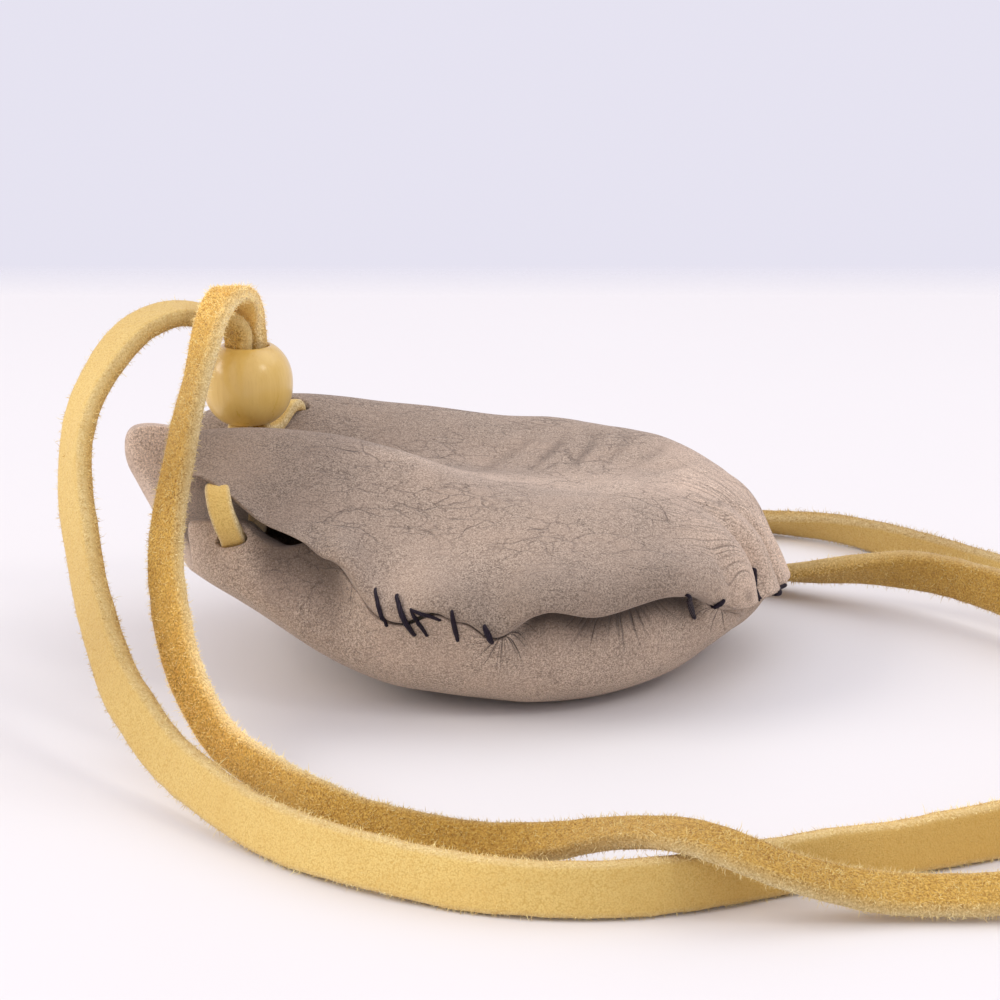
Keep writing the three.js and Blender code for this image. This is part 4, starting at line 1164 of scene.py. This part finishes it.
def lace_frames(route, step):
    """Even places along a route's curve, with its tangent, face and side ways."""
    dense = np.linspace(0.0, 1.0, ROUTE_DENSITY * len(route))
    run = arc_length(curve(route[:, :3], dense), 0)
    places = np.linspace(0.0, run[-1], int(run[-1] / step))
    t = np.interp(places, run, dense)
    at = curve(route[:, :3], t)
    tangent = unit(np.gradient(at, axis=0))
    face = curve(route[:, 3:], t)
    face = unit(face - tangent * (face * tangent).sum(-1, keepdims=True))
    return at, face, np.cross(tangent, face), tangent, places


def lace_strip(name, route, sizes, flesh_out, seed, squeeze=1.0, warm_shade_from=None, edge_share=1.0, inside=None,
               tone_and_shade_table=None):
    """A flat lace: the rounded strip section carried along the route, its width and edge wandering a little.
    flesh_out says whether the route's face side is the brushed one, squeeze is the share of the width at the
    start, warm_shade_from the length after which painted shade turns the grain darker and ochre, edge_share
    how pale the cut edges are, inside the stretch with painted shade inside the pouch, and
    tone_and_shade_table the table of its tone, which holds painted light and shade."""
    width, thickness, corner = sizes
    at, face, side, tangent, places = lace_frames(route, LACE_STEP)
    section = ring_section(width, thickness, corner)
    line = np.stack([places, np.zeros_like(places), np.zeros_like(places)], axis=-1)
    swell = 1.0 + unevenness(line, LACE_SWELL, seed)
    swell *= squeeze + (1.0 - squeeze) * smoothstep(places / SQUEEZE_LENGTH)
    sway = unevenness(line, LACE_SWAY, seed + len(LACE_SWELL))
    w = section[None, :, 0] * swell[:, None] + sway[:, None]
    n = np.broadcast_to(section[None, :, 1], w.shape)
    grid = at[:, None] + side[:, None] * w[..., None] + face[:, None] * n[..., None]
    grid[..., 2] = np.maximum(grid[..., 2], LACE_FLOOR)
    rows, ring = w.shape
    index = np.arange(rows * ring).reshape(rows, ring)
    index = np.concatenate([index, index[:, :1]], axis=1)
    ends = np.stack([grid[0].mean(0), grid[-1].mean(0)])
    caps = np.concatenate([
        np.stack([index[0, 1:], index[0, :-1], np.full(ring, rows * ring)], axis=-1),
        np.stack([index[-1, :-1], index[-1, 1:], np.full(ring, rows * ring + 1)], axis=-1),
    ])
    cut = smoothstep((np.abs(section[:, 0]) - width / 2 + corner) / (CUT_BAND * corner))
    face_share = smoothstep(0.5 + section[:, 1] / thickness)
    flesh = face_share if flesh_out else 1.0 - face_share
    warm_shade = np.zeros_like(places) if warm_shade_from is None else rising(places, warm_shade_from, WARM_SHADE_OVER)
    dark = np.zeros_like(places) if inside is None else between(places, *inside)
    shade = np.ones_like(places) if tone_and_shade_table is None else np.interp(places, tone_and_shade_table[:, 0], tone_and_shade_table[:, 1])

    def per_point(values, end_value):
        return np.concatenate([np.broadcast_to(values, w.shape).ravel(), np.full(2, end_value)])

    strand = np.stack([np.broadcast_to(places[:, None], w.shape), w, n], axis=-1)
    marks = {"cut": per_point(cut * edge_share, edge_share), "flesh": per_point(flesh, 0.5),
             "warm_shade": per_point(warm_shade[:, None], 0.0), "dark": per_point(dark[:, None], 0.0),
             "shade": per_point(shade[:, None], 1.0),
             "strand": np.concatenate([strand.reshape(-1, 3), np.zeros((2, 3))])}
    points = np.concatenate([grid.reshape(-1, 3), ends])
    piece = make_piece(name, points, grid_quads(index).reshape(-1, 4), caps, marks)
    sideways = side[:, None] * section[None, :, :1] * thickness / width
    outward = unit(sideways + face[:, None] * section[None, :, 1:])
    return piece, {"at": at, "grid": grid, "tangent": tangent, "outward": outward, "shade": shade,
                   "flesh": np.broadcast_to(flesh, w.shape), "cut": np.broadcast_to(cut, w.shape),
                   "edge_share": edge_share}


def lace_fuzz(name, lace, count, seed):
    """Loose fibres on the brushed face and cut edges of a lace: each is a bent ribbon of one quad and one
    triangle, set on a seeded point of the lace and leaning a seeded way off its outward direction."""
    rng = np.random.default_rng(seed)
    weight = (np.maximum(lace["flesh"], FUZZ_ON_EDGES * lace["cut"]) + FUZZ_ON_GRAIN).ravel()
    chosen = rng.choice(weight.size, count, p=weight / weight.sum())
    rows = chosen // lace["flesh"].shape[1]
    shift = lace["tangent"][rows] * rng.uniform(-FIBRE_JITTER, FIBRE_JITTER, (count, 1))
    base = lace["grid"].reshape(-1, 3)[chosen] + shift
    out = lace["outward"].reshape(-1, 3)[chosen]
    lean = unit(out * rng.uniform(*FIBRE_STAND, (count, 1)) + rng.normal(0.0, FIBRE_LEAN, (count, 3)))
    bend = unit(lean + rng.normal(0.0, FIBRE_BEND, (count, 3)))
    length = FIBRE_LENGTH * rng.lognormal(0.0, FIBRE_LENGTH_SPREAD, (count, 1))
    broad = unit(np.cross(lean, rng.normal(size=(count, 3)))) * FIBRE_WIDTH
    broad *= rng.uniform(0.5, 1.0, (count, 1))
    root = base - out * FIBRE_ROOT
    knee = root + lean * length * FIBRE_KNEE
    tip = knee + bend * length * (1.0 - FIBRE_KNEE)
    knee_half = broad * FIBRE_KNEE_HALF
    points = np.stack([root - broad / 2, root + broad / 2, knee + knee_half, knee - knee_half, tip], axis=1)
    points[..., 2] = np.maximum(points[..., 2], FIBRE_FLOOR)
    corners = points.shape[1]
    first = corners * np.arange(count)[:, None]
    tone = rng.normal(*FIBRE_TONE, count) + unevenness(base, CLUMP_WAVES, seed + 1)
    marks = {"tone": np.repeat(np.clip(tone, 0.0, 1.0), corners), "tip": np.tile(FIBRE_TIPS, count),
             "pale": np.repeat(lace["cut"].ravel()[chosen] * lace["edge_share"], corners),
             "shade": np.repeat(lace["shade"][rows], corners)}
    return make_piece(name, points.reshape(-1, 3), first + np.arange(4), first + np.array((3, 2, 4)), marks)


# Bead

def slide_bead(name):
    """The turned bead: a superellipse profile from hole to hole and back up the bore, its rims softened by
    averaging neighbours, carried round its axis."""
    radius, hole = BEAD_DIAMETER / 2, BEAD_HOLE_DIAMETER / 2
    swing = np.linspace(-1.0, 1.0, BEAD_RINGS) * math.acos(hole / radius)
    reach = radius * np.cos(swing)
    height = np.sign(swing) * radius * (1 - (reach / radius) ** BEAD_ROUNDNESS) ** (1 / BEAD_ROUNDNESS)
    bore = np.linspace(height[-1], height[0], BEAD_RINGS)[1:-1]
    reach = np.concatenate([reach, np.full(len(bore), hole)])
    height = np.concatenate([height, bore])
    for _ in range(BEAD_RIM_PASSES):
        reach = (np.roll(reach, 1) + reach + np.roll(reach, -1)) / 3
        height = (np.roll(height, 1) + height + np.roll(height, -1)) / 3
    turn = np.linspace(0.0, 2 * math.pi, BEAD_SIDES, endpoint=False)
    grid = np.stack([reach[:, None] * np.cos(turn), reach[:, None] * np.sin(turn),
                     np.broadcast_to(height[:, None], (len(reach), BEAD_SIDES))], axis=-1)
    index = np.arange(grid[..., 0].size).reshape(grid.shape[:2])
    index = np.pad(index, ((0, 1), (0, 1)), mode="wrap")
    return make_piece(name, grid.reshape(-1, 3) + BEAD_CENTRE, grid_quads(index)[..., ::-1].reshape(-1, 4))


# Stitches

def thread_tubes(name, paths, radii):
    """Threads as one mesh: a round section carried along each path, thinner where it goes into the
    leather."""
    points, quads, strands = [], [], []
    offset = 0
    turn = np.linspace(0.0, 2 * math.pi, STITCH_RING, endpoint=False)
    for path, radius in zip(paths, radii):
        share = np.linspace(0.0, 1.0, STITCH_STEPS)
        line = curve(np.array(path), share)
        tangent = unit(np.gradient(line, axis=0))
        side = unit(np.cross(tangent, np.array(STITCH_SIDE_HINT)))
        rise = np.cross(side, tangent)
        size = radius * (STITCH_END_SIZE + (1.0 - STITCH_END_SIZE) * np.sin(math.pi * share) ** 0.6)
        ring = side[:, None] * np.cos(turn)[None, :, None] + rise[:, None] * np.sin(turn)[None, :, None]
        grid = line[:, None] + ring * size[:, None, None]
        index = offset + np.arange(grid[..., 0].size).reshape(grid.shape[:2])
        quads.append(grid_quads(np.concatenate([index, index[:, :1]], axis=1)).reshape(-1, 4))
        points.append(grid.reshape(-1, 3))
        run = np.broadcast_to(arc_length(line, 0)[:, None], grid.shape[:2])
        strand = np.stack([run, np.broadcast_to(turn, grid.shape[:2]), np.zeros(grid.shape[:2])], axis=-1)
        strands.append(strand.reshape(-1, 3))
        offset += index.size
    return make_piece(name, np.concatenate(points), np.concatenate(quads)[:, ::-1],
                      attributes={"strand": np.concatenate(strands)})


def at_place(panel, along, across):
    """The place on a panel's outer face at two shares of its grid, and its normal."""
    points, normal, along_grid, across_line = panel
    column = np.argmin(np.abs(across_line - across))
    row = np.argmin(np.abs(along_grid[:, column] - along))
    return points[row, column], normal[row, column]


def at_plan(panel, x, y):
    """The place on a panel's outer face nearest to a point of the plan, and its normal."""
    points, normal = panel[:2]
    miss = np.hypot(points[..., 0] - x, points[..., 1] - y)
    row, column = np.unravel_index(np.argmin(miss), miss.shape)
    return points[row, column], normal[row, column]


def stitch_path(start, stop, radius, leather):
    """A stitch: the straight line from the upper panel to the lower one, each point lifted along the stitch's
    outward way until it lies on the highest leather beside it, with both ends sunk in."""
    above, above_normal = start
    below, below_normal = stop
    out = unit(above_normal + below_normal)
    share = np.linspace(0.0, 1.0, STITCH_POINTS)[:, None]
    line = above * (1.0 - share) + below * share
    offset = leather - line[:, None]
    height = offset @ out
    aside = np.linalg.norm(offset - height[..., None] * out, axis=-1)
    lying = (aside < STITCH_BAND * radius) & (height < STITCH_LIFT)
    rise = np.where(lying, height, 0.0).max(axis=1)
    line = line + out * (rise + STITCH_REST * radius)[:, None]
    return [above - above_normal * STITCH_SINK, *line, below - below_normal * STITCH_SINK]


def whip_stitches(name, upper, lower):
    """The stitches that the photo shows, then one in each gather of the far side."""
    leather = np.concatenate([upper[0].reshape(-1, 3), lower[0].reshape(-1, 3)])
    paths = [stitch_path(at_place(upper, *row[0:2]), at_place(lower, *row[2:4]), row[4], leather)
             for row in SHOWN_STITCHES]
    radii = [row[4] for row in SHOWN_STITCHES]
    for x, y, *_ in PLEATS:
        if y > 0:
            inward = unit(np.array(PLEAT_CENTRE) - (x, y))
            start = np.array((x, y)) + inward * FAR_STITCH_START
            stop = np.array((x, y)) + inward * FAR_STITCH_STOP
            paths.append(stitch_path(at_plan(upper, *start), at_plan(lower, *stop), THREAD_RADIUS, leather))
            radii.append(THREAD_RADIUS)
    return thread_tubes(name, paths, radii)


# Knot

def knot_wrap():
    """The lace's turns in the knot: a flattened helix about the X axis, its face looking out."""
    angle = np.linspace(0.0, 2 * math.pi * KNOT_TURNS, KNOT_POINTS)
    turns = angle / (2 * math.pi)
    out = np.stack([np.zeros_like(angle), np.cos(angle), np.sin(angle)], axis=-1)
    middle = np.sin(math.pi * turns / KNOT_TURNS)
    spread = KNOT_RADIUS * (KNOT_END_SHARE + (1.0 - KNOT_END_SHARE) * middle)
    at = out * spread[:, None] * KNOT_STRETCH
    at[:, 0] = KNOT_PITCH * (turns - KNOT_TURNS / 2)
    at[:, 1] += KNOT_WAVE * np.sin(2 * angle)
    return np.concatenate([at + KNOT_CENTRE, out], axis=1)


def knot_tail(points):
    """A free end of the lace: it leaves the knot level and lies flat."""
    return np.concatenate([np.array(points), np.tile((0.0, 0.0, 1.0), (len(points), 1))], axis=1)


# Studio

def studio():
    """White table, pale surroundings, and soft lights on the right, in front and on the left, with a small
    one for the bead's shine."""
    edge = np.array([(-TABLE_HALF, -TABLE_HALF, 0), (TABLE_HALF, -TABLE_HALF, 0), (TABLE_HALF, FADE_END, 0),
                     (-TABLE_HALF, FADE_END, 0)])
    table = make_piece("table", edge, np.array([(0, 1, 2, 3)]))
    table.data.materials.append(floor_material())
    world = bpy.data.worlds.new("pale_room")
    world.use_nodes = True
    world.node_tree.nodes["Background"].inputs["Color"].default_value = ROOM_COLOUR
    world.node_tree.nodes["Background"].inputs["Strength"].default_value = 1.0
    bpy.context.scene.world = world
    for light in LIGHTS:
        area_light(*light)


def area_light(name, place, target, size, watts, colour):
    """A square light that faces a point."""
    light = bpy.data.lights.new(name, "AREA")
    light.size = size * MM
    light.energy = watts
    light.color = colour
    lamp = bpy.data.objects.new(name, light)
    way = np.array(target, float) - np.array(place, float)
    turn = math.atan2(way[1], way[0]) - math.pi / 2
    drop = math.atan2(np.hypot(way[0], way[1]), -way[2])
    lamp.location = np.array(place) * MM
    lamp.rotation_euler = (drop, 0.0, turn)
    bpy.context.scene.collection.objects.link(lamp)


def photo_camera():
    """The camera at the photo's place: level, tilted down, with the photo's angle of view."""
    camera = bpy.data.cameras.new("photo_camera")
    camera.sensor_width = SENSOR_WIDTH
    camera.lens = SENSOR_WIDTH * FOCAL_PIXELS / PHOTO_PIXELS
    camera.clip_start = CLIP_START * MM
    holder = bpy.data.objects.new("photo_camera", camera)
    holder.location = np.array(CAMERA_PLACE) * MM
    holder.rotation_euler = (math.radians(CAMERA_TILT_DEG), 0.0, 0.0)
    bpy.context.scene.collection.objects.link(holder)
    bpy.context.scene.camera = holder
    bpy.context.scene.view_settings.view_transform = "Standard"


# Assembly

photo_camera()
studio()

speckle = speckle_group()
cracks = cracks_group()
nubuck = nubuck_material(speckle, cracks, drawn_lines_group())
deerskin = deerskin_material(speckle)
fibres = fibre_material()
thread = thread_material()

outer_lace, outer_shape = lace_strip(
    "lace_outer", OUTER_ROUTE, OUTER_SIZES, False, OUTER_SEED, OUTER_SQUEEZE, WARM_SHADE_FROM,
    edge_share=OUTER_EDGE_SHARE_SHADED, tone_and_shade_table=OUTER_TONES_AND_SHADE)
inner_lace, inner_shape = lace_strip(
    "lace_inner", INNER_ROUTE, INNER_SIZES, True, INNER_SEED, INNER_SQUEEZE,
    edge_share=INNER_EDGE_SHARE, tone_and_shade_table=INNER_TONES_AND_SHADE)
drawn_lace, _ = lace_strip("lace_drawn", DRAWN_ROUTE, DRAWN_SIZES, True, DRAWN_SEED, inside=INSIDE_LACE_PAINTED_SHADE)
dress(outer_lace, deerskin, "deerskin", "neck_lace_outer")
dress(inner_lace, deerskin, "deerskin", "neck_lace_inner")
dress(drawn_lace, deerskin, "deerskin", "draw_lace")
dress(lace_fuzz("lace_outer_fuzz", outer_shape, FUZZ_OUTER, OUTER_FUZZ_SEED), fibres, "deerskin")
dress(lace_fuzz("lace_inner_fuzz", inner_shape, FUZZ_INNER, INNER_FUZZ_SEED), fibres, "deerskin")

wrap, _ = lace_strip("knot_wrap", knot_wrap(), KNOT_SIZES, False, KNOT_SEED)
knot = [dress(wrap, deerskin, "deerskin", "lace_knot")]
for number, points in enumerate(KNOT_TAILS, 1):
    tail, _ = lace_strip(f"knot_tail_{number}", knot_tail(points), TAIL_SIZES, False, TAIL_SEED + number)
    knot.append(dress(tail, deerskin, "deerskin"))

upper_panel, upper_grid = leather_panel(
    "panel_upper", UPPER_SECTIONS, UPPER_CORNERS, shape_upper, 1, UPPER_HOLES)
lower_panel, lower_grid = leather_panel(
    "panel_lower", LOWER_SECTIONS, LOWER_CORNERS, shape_lower, -1, LOWER_HOLES, lip_line=upper_grid[0][:, 0])
dress(upper_panel, nubuck, "nubuck", "pouch_upper")
dress(lower_panel, nubuck, "nubuck", "pouch_lower")
dress(whip_stitches("whip_stitches", upper_grid, lower_grid), thread, "thread")
dress(slide_bead("slide_bead"), wood_material(), "bead_wood", "bead")
